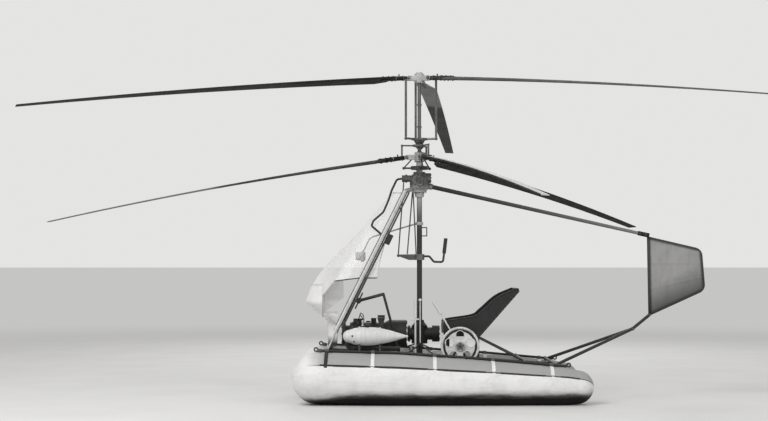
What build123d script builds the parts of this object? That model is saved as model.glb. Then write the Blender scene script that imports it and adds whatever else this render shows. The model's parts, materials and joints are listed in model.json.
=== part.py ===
"""A light open-frame helicopter on two inflated floats.

Two three-bladed rotors turn opposite ways on one mast, over a flat-twin engine and a bucket seat.
Millimetres. +X points aft, +Y to starboard and +Z up. The floor under the floats is Z = 0.
"""

import os
from math import cos, hypot, radians, sin

from build123d import *

os.makedirs("parts", exist_ok=True)

# Fits
GAP = 0.3  # between pieces that are bolted, strapped or clamped together
RUNNING = 0.05  # radial play of a shaft in its bore

# The mast stands this far aft of the origin, and places below are given from the mast
MAST_X = 250
MAST_RADIUS = 20
MAST_FOOT = 604
SIDES = (("left", -1), ("right", 1))

# Floats: round ends begin at the first and the last station, given as aft of the mast and radius
FLOAT_TRACK = 900
FLOAT_STATIONS = ((-760, 187.5), (-180, 191.5), (500, 168), (1060, 137), (1141, 122))
FLOAT_KEEL_LIFT = 5  # the ends of the underside ride this high, and the ground flattens the rest

# Straps and battens that hold a float to its rail
STRAP_THICKNESS = 4
STRAP_WIDTH = 26
STRAP_PLACES = (-697, -359, 94, 521, 951)
BATTEN_ANGLE = 34  # above the horizontal, seen from the float's axis
BATTEN_HALF_ANGLE = 2.2
BATTEN_FORE = -740
BATTEN_AFT = 1150

# Rails, cross tubes and keel tubes
RAIL_RADIUS = 10
EYE_RADIUS = 18
EYE_BORE = 8
EYE_THICKNESS = 8
EYE_REACH = 16
CROSS_RADIUS = 10
CROSS_PLACES = (-684, -60, 772, 1004)
KEEL_RADIUS = 12
KEEL_OFFSET = 130
KEEL_OVERHANG = 25

# Front struts: a flattened tube with a thin tube tied behind it, and a thin rod below
STRUT_TOP = (-107, 50, 1588)
STRUT_FOOT = (-612, 350, 569)
STRUT_CHORD = 40
STRUT_DEPTH = 26
STRUT_SOCKET_RADIUS = 15
STRUT_SOCKET_LENGTH = 34
STRUT_ROD_RADIUS = 9
STRUT_TUBE_RADIUS = 6
STRUT_TUBE_SPACE = 5
STRUT_TIES = (0.12, 0.39, 0.66, 0.93)  # places of the ties, as shares of the strut's run
STRUT_TIE_RADIUS = 4
CLIP_HEIGHTS = (1010, 1250)  # of the clips that hold the windscreen between the struts
CLIP_RADIUS = 5
# Junction box behind the port strut: middle of its height, size aft, across and up
BOX_HEIGHT = 1236
BOX_SIZE = (34, 30, 76)

# Upper gearbox, turned about the mast axis
GEARBOX_FOOT = 1540
GEARBOX_NECK_RADIUS = 32
GEARBOX_SHOULDER = 1600
GEARBOX_RADIUS = 72
GEARBOX_RIM = 1700
GEARBOX_TOP = 1733
GEARBOX_COVER_RADIUS = 46
GEARBOX_BORE_DEPTH = 50
FLANGE_RADIUS = 56
FLANGE_THICKNESS = 8
FLANGE_FOOT = GEARBOX_SHOULDER - 20

# Rotors: both stand on the mast axis
ROTOR_RADIUS = 3050
SHAFT_RADIUS = 14
SLEEVE_RADIUS = 24
LOWER_HUB = 1847
UPPER_HUB = 2451
HUB_RADIUS = 38
HUB_HALF_HEIGHT = 34
HUB_CAP = 15
HINGE_RADIUS = 95
FORK_GAP = 22
FORK_CHEEK = 10
FORK_RADIUS = 18
HINGE_PIN = 7
CUFF_START = 26
CUFF_RADIUS = 17
CUFF_END = 175
ROOT_PLATE = (112, 226)  # of the plates that clamp a blade's root, out from its hinge
ROOT_PLATE_HALF_WIDTH = 24
ROOT_PLATE_HALF_HEIGHT = 15
# Pitch horn on each cuff: out from the hinge, reach ahead of the blade's axis
HORN_PLACE = 34
HORN_REACH = 40
HORN_RADIUS = 7
HORN_BALL = 11
DROOP_AT_HINGE = 0.75  # share of the droop that is a straight slope
# Blades: azimuth from +X towards +Y, and droop of the tip below the hub
UPPER_BLADES = ((202, 327), (83.5, 344), (-37, 344))
LOWER_BLADES = ((169, 480), (48, 480), (-78, 430))
# Blade sections: distance from the mast, chord ahead of the pitch axis and behind it, thickness, pitch
ROOT_SECTIONS = ((250, 42, 63, 22, 9), (335, 42, 108, 21, 9))
SPAN_SECTIONS = ((335, 42, 108, 21, 9), (1650, 34, 86, 14, 6), (ROTOR_RADIUS, 22, 58, 8, 3))

# Tail
BOOM_ROOT = (34, 0, 1633)
BOOM_TIP = (1739, 0, 1251)
BOOM_ROOT_RADIUS = 17
BOOM_TIP_RADIUS = 12.5
BOOM_SOCKET_RADIUS = 24
BOOM_SOCKET_END = 66
FIN_SOCKET_LENGTH = 70
FIN_SOCKET_RADIUS = 17
# Fin: a post and a bent edge tube, covered with fabric over ribs
FIN_POST_RADIUS = 11
FIN_EDGE_RADIUS = 8
FIN_RIB_RADIUS = 6
FIN_SKIN = 4  # half the thickness of the covered panel
FIN_RIBS = (0.33, 0.67)  # places of the ribs, as shares of the post
FIN_CORNERS = ((1750, 1232), (2152, 1138), (2175, 834), (1757, 644))  # aft of the mast, height
FIN_BENDS = [60, 60]
TAIL_JUNCTION = (1625, 0, 536)
TAIL_TUBE_RADIUS = 12
TAIL_FOOT_SIDE = 350


def at(aft, side, up):
    """The point this far aft of the mast axis, to starboard of it and above the floor."""
    return Vector(MAST_X + aft, side, up)


def mirrored(point, side):
    """A point of the starboard half, on the side asked for."""
    return at(point[0], side * point[1], point[2])


def bar(start, end, radius, mode=Mode.ADD):
    """Add a straight round bar between two points, or cut its room."""
    run = Vector(end) - Vector(start)
    with BuildSketch(Plane(origin=start, z_dir=run)) as section:
        Circle(radius)
    extrude(section.sketch, amount=run.length, mode=mode)


def cone(start, end, start_radius, end_radius, mode=Mode.ADD):
    """Add a tapered round bar between two points, or cut its room."""
    run = Vector(end) - Vector(start)
    with BuildSketch(Plane(origin=start, z_dir=run)) as first:
        Circle(start_radius)
    with BuildSketch(Plane(origin=end, z_dir=run)) as last:
        Circle(end_radius)
    loft([first.sketch.face(), last.sketch.face()], mode=mode)


def ball(middle, radius, mode=Mode.ADD):
    """Add a ball, or cut its room."""
    with Locations(middle):
        Sphere(radius, mode=mode)


def bent(points, radius, bends):
    """Add a round tube along straight runs joined by arcs."""
    with BuildLine() as path:
        FilletPolyline(*points, radius=bends)
    with BuildSketch(Plane(origin=path.line @ 0, z_dir=path.line % 0)) as section:
        Circle(radius)
    sweep(section.sketch, path=path.line)


def block(low, high, mode=Mode.ADD):
    """Add a box from its lowest to its highest corner."""
    middle = (Vector(low) + Vector(high)) / 2
    size = Vector(high) - Vector(low)
    with Locations(middle):
        Box(size.X, size.Y, size.Z, mode=mode)


def save(piece, name):
    """Label a finished piece and write it."""
    piece.part.label = name
    export_step(piece.part, f"parts/{name}.step")


# Floats


FLOAT_FORE, FLOAT_FORE_RADIUS = FLOAT_STATIONS[0]
FLOAT_AFT, FLOAT_AFT_RADIUS = FLOAT_STATIONS[-1]


def float_plane(side):
    """A float's plane: origin on its axis at the first station, X aft along the axis, Y up."""
    middle = side * FLOAT_TRACK / 2
    fore = at(FLOAT_FORE, middle, FLOAT_FORE_RADIUS + FLOAT_KEEL_LIFT)
    aft = at(FLOAT_AFT, middle, FLOAT_AFT_RADIUS + FLOAT_KEEL_LIFT)
    return Plane(origin=fore, x_dir=aft - fore, z_dir=(0, -1, 0))


STATION_STEP = hypot(FLOAT_AFT - FLOAT_FORE, FLOAT_FORE_RADIUS - FLOAT_AFT_RADIUS) / (FLOAT_AFT - FLOAT_FORE)


def station_points(skin):
    """The float's outline in its own plane, from station to station, grown by a skin."""
    return [((place - FLOAT_FORE) * STATION_STEP, radius + skin) for place, radius in FLOAT_STATIONS]


def float_form(side, skin=0, mode=Mode.ADD):
    """Add a float, or the float grown by a skin."""
    plane = float_plane(side)
    points = station_points(skin)
    nose = points[0][1]
    span, tail = points[-1]
    with BuildSketch(plane) as half:
        with BuildLine():
            CenterArc((0, 0), nose, 180, -90)
            Polyline(*points)
            CenterArc((span, 0), tail, 90, -90)
            Line((span + tail, 0), (-nose, 0))
        make_face()
    revolve(half.sketch, axis=Axis(plane.origin, plane.x_dir), mode=mode)


for side_name, side in SIDES:
    with BuildPart() as inflated_float:
        float_form(side)
        split(bisect_by=Plane.XY, keep=Keep.TOP)
    save(inflated_float, f"float_{side_name}")


# Straps over each float, from the inner batten to the outer one

REACH = 2 * FLOAT_FORE_RADIUS


def across_float(side, aft):
    """The plane square to a float's axis at a place aft of the mast."""
    plane = float_plane(side)
    place = plane.origin + plane.x_dir * (aft - FLOAT_FORE)
    return Plane(origin=place, x_dir=(0, 1, 0), z_dir=plane.x_dir)


def ray(angle):
    """A far point at this angle above the horizontal."""
    return (REACH * cos(radians(angle)), REACH * sin(radians(angle)))


for side_name, side in SIDES:
    with BuildPart() as harness:
        for batten_angle in (BATTEN_ANGLE, 180 - BATTEN_ANGLE):
            low = batten_angle - BATTEN_HALF_ANGLE
            high = batten_angle + BATTEN_HALF_ANGLE
            with BuildSketch(across_float(side, BATTEN_FORE)):
                with BuildLine():
                    Polyline((0, 0), ray(low), ray(high), close=True)
                make_face()
            extrude(amount=BATTEN_AFT - BATTEN_FORE)
        for place in STRAP_PLACES:
            with BuildSketch(across_float(side, place)):
                with BuildLine():
                    Polyline(
                        (0, 0),
                        ray(BATTEN_ANGLE),
                        (REACH, REACH),
                        (-REACH, REACH),
                        ray(180 - BATTEN_ANGLE),
                        close=True,
                    )
                make_face()
            extrude(amount=STRAP_WIDTH / 2, both=True)
        float_form(side, GAP + STRAP_THICKNESS, Mode.INTERSECT)
        float_form(side, GAP, Mode.SUBTRACT)
    save(harness, f"float_harness_{side_name}")


# Rails on top of the floats, with a mooring eye at each end

RAIL_LIFT = 2 * GAP + STRAP_THICKNESS + RAIL_RADIUS


def rail_points(side):
    """The corners of a rail's centre line, along the float's top to the last station but one."""
    plane = float_plane(side)
    return [plane.from_local_coords(Vector(x, y, 0)) for x, y in station_points(RAIL_LIFT)[:-1]]


def rail_height(aft):
    """Height of the rails' centre lines at a place aft of the mast."""
    points = rail_points(1)
    for fore, rear in zip(points, points[1:]):
        if MAST_X + aft <= rear.X:
            break
    return fore.Z + (rear.Z - fore.Z) * (MAST_X + aft - fore.X) / (rear.X - fore.X)


def rail_form(side, radius, mode=Mode.ADD):
    """Add a rail, straight from corner to corner, or cut its room."""
    points = rail_points(side)
    for fore, rear in zip(points, points[1:]):
        bar(fore, rear, radius, mode=mode)
    for corner in points[1:-1]:
        ball(corner, radius, mode)


for side_name, side in SIDES:
    with BuildPart() as rail:
        rail_form(side, RAIL_RADIUS)
        corners = rail_points(side)
        for end, outward in ((corners[0], -1), (corners[-1], 1)):
            eye = end + Vector(outward * EYE_REACH, EYE_THICKNESS / 2, EYE_RADIUS - RAIL_RADIUS)
            with BuildSketch(Plane(origin=eye, x_dir=(1, 0, 0), z_dir=(0, -1, 0))) as eye_plate:
                Circle(EYE_RADIUS)
                Circle(EYE_BORE, mode=Mode.SUBTRACT)
            extrude(eye_plate.sketch, amount=EYE_THICKNESS)
    save(rail, f"rail_{side_name}")


# Cross tubes between the rails, and two keel tubes hung under them

CROSS_HALF = FLOAT_TRACK / 2 - RAIL_RADIUS - GAP
KEEL_DROP = CROSS_RADIUS + GAP + KEEL_RADIUS


def clear_cross(place):
    """Cut the room of a cross tube out of a piece that is clamped to it."""
    height = rail_height(place)
    bar(
        at(place, -CROSS_HALF, height),
        at(place, CROSS_HALF, height),
        CROSS_RADIUS + GAP,
        mode=Mode.SUBTRACT,
    )


with BuildPart() as cross_tubes:
    for place in CROSS_PLACES:
        height = rail_height(place)
        bar(at(place, -CROSS_HALF, height), at(place, CROSS_HALF, height), CROSS_RADIUS)
save(cross_tubes, "cross_tubes")

KEEL_FORE = at(CROSS_PLACES[0], 0, rail_height(CROSS_PLACES[0]) - KEEL_DROP)
KEEL_AFT = at(CROSS_PLACES[-1], 0, rail_height(CROSS_PLACES[-1]) - KEEL_DROP)
KEEL_RUN = (KEEL_AFT - KEEL_FORE).normalized()


def keel_ends(side):
    """The two ends of a keel tube."""
    shift = Vector(0, side * KEEL_OFFSET, 0)
    return KEEL_FORE + shift - KEEL_RUN * KEEL_OVERHANG, KEEL_AFT + shift + KEEL_RUN * KEEL_OVERHANG


def keel_height(aft):
    """Height of the keel tubes' centre lines at a place aft of the mast."""
    share = (MAST_X + aft - KEEL_FORE.X) / (KEEL_AFT.X - KEEL_FORE.X)
    return KEEL_FORE.Z + share * (KEEL_AFT.Z - KEEL_FORE.Z)


def clear_keel():
    """Cut the room of the keel tubes out of a piece that stands on them."""
    for _, side in SIDES:
        bar(*keel_ends(side), KEEL_RADIUS + GAP, mode=Mode.SUBTRACT)


with BuildPart() as keel_tubes:
    for _, side in SIDES:
        bar(*keel_ends(side), KEEL_RADIUS)
save(keel_tubes, "keel_tubes")


# Form of the nose: one tapering shell, cut further below into a cap and a windscreen

SHELL = 3
# Sections of the nose: height, front edge, half width, length of the rounded front, rear edge
NOSE_SECTIONS = (
    (601, -707, 215, 120, -560),
    (739, -872, 262, 300, -420),
    (870, -823, 238, 290, -330),
    (1029, -711, 186, 250, -310),
    (1289, -450, 108, 150, -235),
    (1574, -214, 34, 60, -118),
)
NOSE_STRIP = -735  # the cap reaches back to here below the side opening
# Lower edge of the windscreen, seen from the side: aft of the mast, height
SCREEN_EDGE = ((-1000, 755), (-760, 755), (-650, 900), (-470, 922), (-200, 926))
SCREEN_SEAM = 870


def nose_form(inset, extra, mode=Mode.ADD):
    """Add the whole nose form, inset by a wall and lengthened aft."""
    sections = []
    for height, front, half_width, rounding, rear in NOSE_SECTIONS:
        shoulder = MAST_X + front + rounding
        back = MAST_X + rear + extra
        width = half_width - inset
        with BuildSketch(Plane.XY.offset(height)) as section:
            with BuildLine():
                Line((back, width), (shoulder, width))
                EllipticalCenterArc((shoulder, 0), rounding - inset, width, 90, arc_size=180)
                Polyline((shoulder, -width), (back, -width), (back, width))
            make_face()
        sections.append(section.sketch.face())
    loft(sections, ruled=True, mode=mode)


# Front struts, from the upper gearbox down past the nose, and the rods from them to the floats


def strut_ends(side):
    """Top and foot of a front strut."""
    return mirrored(STRUT_TOP, side), mirrored(STRUT_FOOT, side)


def square_to(run):
    """The fore-and-aft direction that is square to a run."""
    unit = run.normalized()
    fore_and_aft = Vector(1, 0, 0)
    return fore_and_aft - unit * fore_and_aft.dot(unit)


def on_strut(side, height):
    """The point of a strut's centre line at a height."""
    top, foot = strut_ends(side)
    return top + (foot - top) * ((height - top.Z) / (foot.Z - top.Z))


TUBE_SHIFT = STRUT_CHORD / 2 + STRUT_TUBE_SPACE + STRUT_TUBE_RADIUS


def strut_form(side, skin=0, mode=Mode.ADD):
    """Add a strut's flattened tube, or cut its room grown by a skin."""
    top, foot = strut_ends(side)
    run = foot - top
    start = top + run.normalized() * GAP
    with BuildSketch(Plane(origin=start, x_dir=square_to(run), z_dir=run)) as section:
        SlotOverall(STRUT_CHORD + 2 * skin, STRUT_DEPTH + 2 * skin)
    extrude(section.sketch, amount=run.length - GAP, mode=mode)


for side_name, side in SIDES:
    top, foot = strut_ends(side)
    run = foot - top
    unit = run.normalized()
    start = top + unit * GAP
    behind = square_to(run).normalized() * TUBE_SHIFT
    rod_foot = at(CROSS_PLACES[0], side * (CROSS_HALF - RAIL_RADIUS), rail_height(CROSS_PLACES[0]))
    with BuildPart() as strut:
        strut_form(side)
        bar(foot - unit * STRUT_SOCKET_LENGTH, foot + unit * STRUT_SOCKET_LENGTH, STRUT_SOCKET_RADIUS)
        bar(foot, rod_foot, STRUT_ROD_RADIUS)
        bar(start + behind, foot + behind, STRUT_TUBE_RADIUS)
        for share in STRUT_TIES:
            tie = top + run * share
            bar(tie, tie + behind, STRUT_TIE_RADIUS)
        for height in CLIP_HEIGHTS:
            clip = on_strut(side, height)
            bar(clip, Vector(clip.X, clip.Y / 2, clip.Z), CLIP_RADIUS)
        nose_form(-GAP, 0, Mode.SUBTRACT)
        clear_cross(CROSS_PLACES[0])
    save(strut, f"front_strut_{side_name}")

with BuildPart() as junction_box:
    port_top, port_foot = strut_ends(-1)
    port_run = (port_foot - port_top).normalized()
    box_aft, box_across, box_up = BOX_SIZE
    box_shift = TUBE_SHIFT + STRUT_TUBE_RADIUS + GAP
    box_middle = on_strut(-1, BOX_HEIGHT) + square_to(port_run).normalized() * box_shift
    with BuildSketch(Plane(origin=box_middle, x_dir=square_to(port_run), z_dir=port_run)):
        with Locations((box_aft / 2, 0)):
            RectangleRounded(box_aft, box_across, 5)
    extrude(amount=box_up / 2, both=True)
save(junction_box, "junction_box")


# Upper gearbox at the head of the mast

SELECTOR_PLACE = -134
SELECTOR_RADIUS = 26
SELECTOR_HEIGHT = GEARBOX_RIM - 17
SELECTOR_RING = (-108, -94)
KNOB_PLACE = 88
KNOB_RADIUS = 38
KNOB_HEIGHT = GEARBOX_RIM - 13
GEARBOX_COVER_EDGE = 10
COVER_SIDE = 84  # reach of the round side covers
COVER_RADIUS = 44
COVER_CAP_RADIUS = 26
COVER_CAP = 12
CASE_RIBS = 8
CASE_RIB_WIDTH = 5
CASE_RIB_REACH = 6

with BuildPart() as upper_gearbox:
    with BuildSketch(Plane.XZ) as gearbox_half:
        with BuildLine():
            Polyline(
                (MAST_X, GEARBOX_FOOT + GAP),
                (MAST_X + GEARBOX_NECK_RADIUS, GEARBOX_FOOT + GAP),
                (MAST_X + GEARBOX_NECK_RADIUS + FLANGE_THICKNESS, FLANGE_FOOT),
                (MAST_X + FLANGE_RADIUS, FLANGE_FOOT),
                (MAST_X + FLANGE_RADIUS, FLANGE_FOOT + FLANGE_THICKNESS),
                (MAST_X + GEARBOX_RADIUS, GEARBOX_SHOULDER + FLANGE_THICKNESS),
                (MAST_X + GEARBOX_RADIUS, GEARBOX_RIM),
                (MAST_X + GEARBOX_COVER_RADIUS, GEARBOX_TOP - GEARBOX_COVER_EDGE),
                (MAST_X + GEARBOX_COVER_RADIUS, GEARBOX_TOP),
                (MAST_X, GEARBOX_TOP),
                close=True,
            )
        make_face()
    revolve(axis=Axis(at(0, 0, 0), (0, 0, 1)))
    with BuildSketch(Plane.XY.offset(GEARBOX_SHOULDER + FLANGE_THICKNESS)):
        with Locations(at(0, 0, 0)):
            with PolarLocations(GEARBOX_RADIUS, CASE_RIBS, start_angle=180 / CASE_RIBS):
                Rectangle(2 * CASE_RIB_REACH, CASE_RIB_WIDTH)
    extrude(amount=GEARBOX_RIM - GEARBOX_SHOULDER - FLANGE_THICKNESS)
    bar(at(0, 0, SELECTOR_HEIGHT), at(SELECTOR_PLACE, 0, SELECTOR_HEIGHT), SELECTOR_RADIUS)
    bar(
        at(SELECTOR_RING[0], 0, SELECTOR_HEIGHT),
        at(SELECTOR_RING[1], 0, SELECTOR_HEIGHT),
        SELECTOR_RADIUS + CASE_RIB_REACH,
    )
    bar(at(0, 0, KNOB_HEIGHT), at(KNOB_PLACE, 0, KNOB_HEIGHT), KNOB_RADIUS)
    middle = (GEARBOX_SHOULDER + GEARBOX_RIM) / 2
    bar(at(0, -COVER_SIDE, middle), at(0, COVER_SIDE, middle), COVER_RADIUS)
    bar(at(0, -COVER_SIDE - COVER_CAP, middle), at(0, COVER_SIDE + COVER_CAP, middle), COVER_CAP_RADIUS)
    bar(at(0, 0, BOOM_ROOT[2]), at(*BOOM_ROOT), BOOM_SOCKET_RADIUS)
    boom_run = (at(*BOOM_TIP) - at(*BOOM_ROOT)).normalized()
    bar(at(*BOOM_ROOT), at(*BOOM_ROOT) + boom_run * BOOM_SOCKET_END, BOOM_SOCKET_RADIUS)
    for _, side in SIDES:
        top, foot = strut_ends(side)
        bar(at(0, 0, STRUT_TOP[2] + 30), top, STRUT_SOCKET_RADIUS)
    bar(
        at(0, 0, GEARBOX_TOP - GEARBOX_BORE_DEPTH),
        at(0, 0, GEARBOX_TOP),
        SLEEVE_RADIUS + RUNNING,
        mode=Mode.SUBTRACT,
    )
    for _, side in SIDES:
        bar(*strut_ends(side), TUBE_SHIFT + STRUT_TUBE_RADIUS + GAP, mode=Mode.SUBTRACT)
save(upper_gearbox, "upper_gearbox")


# Mast

LOOP_LOW = 1244  # of the small wire loop behind the mast
LOOP_HIGH = 1308
LOOP_REACH = 56
LOOP_RADIUS = 4

with BuildPart() as mast:
    bar(at(0, 0, MAST_FOOT), at(0, 0, GEARBOX_FOOT), MAST_RADIUS)
    for height in (LOOP_LOW, LOOP_HIGH):
        bar(at(0, 0, height), at(LOOP_REACH, 0, height), LOOP_RADIUS)
        ball(at(LOOP_REACH, 0, height), LOOP_RADIUS)
    bar(at(LOOP_REACH, 0, LOOP_LOW), at(LOOP_REACH, 0, LOOP_HIGH), LOOP_RADIUS)
save(mast, "mast")


# Lower gearbox under the mast, with the clutch shaft coming in from the engine

ENGINE_HEIGHT = 500
LOWER_GEARBOX_RADIUS = 58
LOWER_GEARBOX_FOOT = 425
INPUT_RADIUS = 48
INPUT_FORE = -92
INPUT_FLANGE = (-88, -74)
OUTPUT_AFT = 150
OUTPUT_DRUM = (96, 150)
DRUM_RADIUS = 62
SHOULDER_WIDTH = 14
SHOULDER_DROP = 44
PEDESTAL_WIDTH = 40
PEDESTAL_LAP = 10

with BuildPart() as lower_gearbox:
    with BuildSketch(Plane.XZ):
        with BuildLine():
            Polyline(
                (MAST_X, LOWER_GEARBOX_FOOT),
                (MAST_X + LOWER_GEARBOX_RADIUS, LOWER_GEARBOX_FOOT),
                (MAST_X + LOWER_GEARBOX_RADIUS, MAST_FOOT - SHOULDER_DROP),
                (MAST_X + MAST_RADIUS + SHOULDER_WIDTH, MAST_FOOT - SHOULDER_WIDTH),
                (MAST_X + MAST_RADIUS + SHOULDER_WIDTH, MAST_FOOT - GAP),
                (MAST_X, MAST_FOOT - GAP),
                close=True,
            )
        make_face()
    revolve(axis=Axis(at(0, 0, 0), (0, 0, 1)))
    bar(at(INPUT_FORE, 0, ENGINE_HEIGHT), at(OUTPUT_AFT, 0, ENGINE_HEIGHT), INPUT_RADIUS)
    for fore, aft in (INPUT_FLANGE, OUTPUT_DRUM):
        bar(at(fore, 0, ENGINE_HEIGHT), at(aft, 0, ENGINE_HEIGHT), DRUM_RADIUS)
    with BuildSketch(Plane.XY.offset(LOWER_GEARBOX_FOOT)):
        with Locations(at(0, 0, 0)):
            with PolarLocations(LOWER_GEARBOX_RADIUS, CASE_RIBS, start_angle=180 / CASE_RIBS):
                Rectangle(2 * CASE_RIB_REACH, CASE_RIB_WIDTH)
    extrude(amount=MAST_FOOT - SHOULDER_DROP - LOWER_GEARBOX_FOOT)
    block(
        at(-PEDESTAL_WIDTH / 2, -KEEL_OFFSET - KEEL_RADIUS, keel_height(0)),
        at(PEDESTAL_WIDTH / 2, KEEL_OFFSET + KEEL_RADIUS, LOWER_GEARBOX_FOOT + PEDESTAL_LAP),
    )
    clear_keel()
save(lower_gearbox, "lower_gearbox")


# Engine: a flat twin, ahead of the mast

CRANKCASE_FORE = -530
CRANKCASE_AFT = -270
CRANKCASE_RADIUS = 84
BELL_RADIUS = 104
BELL_AFT = -100
FAN_FORE = -590
FAN_RADIUS = 62
BELL_STEP = 40  # length over which the case widens to the bell housing
CYLINDER_PLACE = -400
CYLINDER_END = 230
CYLINDER_RADIUS = 46
FIN_RADIUS = 74
FIN_COUNT = 9
FIN_FIRST = 12
FIN_PITCH = 15
ENGINE_FIN_THICKNESS = 4
HEAD_END = 280
HEAD_RADIUS = 60
HEAD_FINS = (238, 252, 266)
ROCKER_COVER = 18
ROCKER_SPREAD = 26
ROCKER_RADIUS = 28
ENGINE_FEET = (-490, -310)
FOOT_LAP = 20
CASE_RINGS = (-512, -468, -332, -288)
CASE_RING_WIDTH = 8
CASE_RING_RADIUS = 90
MAGNETO_RADIUS = 30
MAGNETO_FORE = -505
MAGNETO_AFT = -425
FILLER_PLACE = -350
FILLER_RADIUS = 20
FILLER_RISE = 34
FAN_BLADES = 12
FAN_BLADE_THICKNESS = 5
FAN_RIM_RADIUS = 92
FAN_RIM_DEPTH = 26


def along_engine(fore, aft, radius):
    """Add a round piece of the engine about its shaft line."""
    bar(at(fore, 0, ENGINE_HEIGHT), at(aft, 0, ENGINE_HEIGHT), radius)


with BuildPart() as crankcase:
    along_engine(CRANKCASE_FORE, CRANKCASE_AFT, CRANKCASE_RADIUS)
    for place in CASE_RINGS:
        along_engine(place - CASE_RING_WIDTH / 2, place + CASE_RING_WIDTH / 2, CASE_RING_RADIUS)
    cone(
        at(CRANKCASE_AFT, 0, ENGINE_HEIGHT),
        at(CRANKCASE_AFT + BELL_STEP, 0, ENGINE_HEIGHT),
        CRANKCASE_RADIUS,
        BELL_RADIUS,
    )
    along_engine(CRANKCASE_AFT + BELL_STEP, BELL_AFT, BELL_RADIUS)
    along_engine(FAN_FORE, CRANKCASE_FORE, FAN_RADIUS)
    along_engine(FAN_FORE, FAN_FORE + FAN_BLADE_THICKNESS, FAN_RIM_RADIUS - FAN_BLADE_THICKNESS / 2)
    with BuildSketch(Plane(origin=at(FAN_FORE, 0, ENGINE_HEIGHT), z_dir=(1, 0, 0))):
        Circle(FAN_RIM_RADIUS)
        Circle(FAN_RIM_RADIUS - FAN_BLADE_THICKNESS, mode=Mode.SUBTRACT)
        blade_root = FAN_RADIUS - FAN_BLADE_THICKNESS
        blade_tip = FAN_RIM_RADIUS - FAN_BLADE_THICKNESS / 2
        with PolarLocations((blade_root + blade_tip) / 2, FAN_BLADES):
            Rectangle(blade_tip - blade_root, FAN_BLADE_THICKNESS)
    extrude(amount=FAN_RIM_DEPTH)
    case_top = ENGINE_HEIGHT + CRANKCASE_RADIUS
    bar(at(MAGNETO_FORE, 0, case_top), at(MAGNETO_AFT, 0, case_top), MAGNETO_RADIUS)
    bar(at(FILLER_PLACE, 0, ENGINE_HEIGHT), at(FILLER_PLACE, 0, case_top + FILLER_RISE), FILLER_RADIUS)
    for place in ENGINE_FEET:
        block(
            at(place - PEDESTAL_WIDTH / 2, -KEEL_OFFSET - KEEL_RADIUS, keel_height(place)),
            at(
                place + PEDESTAL_WIDTH / 2,
                KEEL_OFFSET + KEEL_RADIUS,
                ENGINE_HEIGHT - CRANKCASE_RADIUS + FOOT_LAP,
            ),
        )
    clear_keel()
    for _, side in SIDES:
        bar(
            at(CYLINDER_PLACE, side * CRANKCASE_RADIUS, ENGINE_HEIGHT),
            at(CYLINDER_PLACE, side * CYLINDER_END, ENGINE_HEIGHT),
            FIN_RADIUS + GAP,
            mode=Mode.SUBTRACT,
        )
save(crankcase, "crankcase")

for side_name, side in SIDES:
    with BuildPart() as cylinder:
        root = at(CYLINDER_PLACE, side * (CRANKCASE_RADIUS + GAP), ENGINE_HEIGHT)
        end = at(CYLINDER_PLACE, side * CYLINDER_END, ENGINE_HEIGHT)
        bar(root, end, CYLINDER_RADIUS)
        fin_places = [CRANKCASE_RADIUS + FIN_FIRST + number * FIN_PITCH for number in range(FIN_COUNT)]
        for out in (*fin_places, *HEAD_FINS):
            bar(
                at(CYLINDER_PLACE, side * out, ENGINE_HEIGHT),
                at(CYLINDER_PLACE, side * (out + ENGINE_FIN_THICKNESS), ENGINE_HEIGHT),
                FIN_RADIUS,
            )
        bar(end, at(CYLINDER_PLACE, side * HEAD_END, ENGINE_HEIGHT), HEAD_RADIUS)
        for shift in (-ROCKER_SPREAD, ROCKER_SPREAD):
            bar(
                at(CYLINDER_PLACE + shift, side * CYLINDER_END, ENGINE_HEIGHT),
                at(CYLINDER_PLACE + shift, side * (HEAD_END + ROCKER_COVER), ENGINE_HEIGHT),
                ROCKER_RADIUS,
            )
    save(cylinder, f"cylinder_{side_name}")

# Carburettor behind each cylinder head, and an exhaust pipe in front of it

CARB_PLACE = (-292, 246)  # aft of the mast, to the side
CARB_RADIUS = 21
CARB_LOW = 500
CARB_HIGH = 598
BOWL_RADIUS = 28
BOWL_HEIGHTS = (514, 548)
TRUMPET_RADIUS = 30
TRUMPET_LENGTH = 34
INTAKE_RADIUS = 15
INTAKE_HEIGHT = 558
EXHAUST_RADIUS = 17
EXHAUST_BEND = 40
EXHAUST_SIDE = 258
# Route of the exhaust's centre line: aft of the mast, height
EXHAUST_ROUTE = ((CYLINDER_PLACE - HEAD_RADIUS - GAP - 2, 500), (-545, 500), (-545, 398), (-150, 398))

with BuildPart() as engine_fittings:
    for _, side in SIDES:
        place, out = CARB_PLACE
        bar(at(place, side * out, CARB_LOW), at(place, side * out, CARB_HIGH), CARB_RADIUS)
        bar(at(place, side * out, BOWL_HEIGHTS[0]), at(place, side * out, BOWL_HEIGHTS[1]), BOWL_RADIUS)
        cone(
            at(place, side * out, CARB_HIGH),
            at(place, side * out, CARB_HIGH + TRUMPET_LENGTH),
            CARB_RADIUS,
            TRUMPET_RADIUS,
        )
        bar(at(place, side * out, INTAKE_HEIGHT), at(CYLINDER_PLACE, side * out, ENGINE_HEIGHT), INTAKE_RADIUS)
        route = [at(aft, side * EXHAUST_SIDE, height) for aft, height in EXHAUST_ROUTE]
        bent(route, EXHAUST_RADIUS, [EXHAUST_BEND, EXHAUST_BEND])
        bar(
            at(CYLINDER_PLACE, side * CYLINDER_END, ENGINE_HEIGHT),
            at(CYLINDER_PLACE, side * (HEAD_END + GAP), ENGINE_HEIGHT),
            FIN_RADIUS + GAP,
            mode=Mode.SUBTRACT,
        )
save(engine_fittings, "engine_fittings")


# Teardrop fuel tanks, on posts from the rails

TANK_NOSE = 46  # radius of the round nose, centred on the first station
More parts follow.
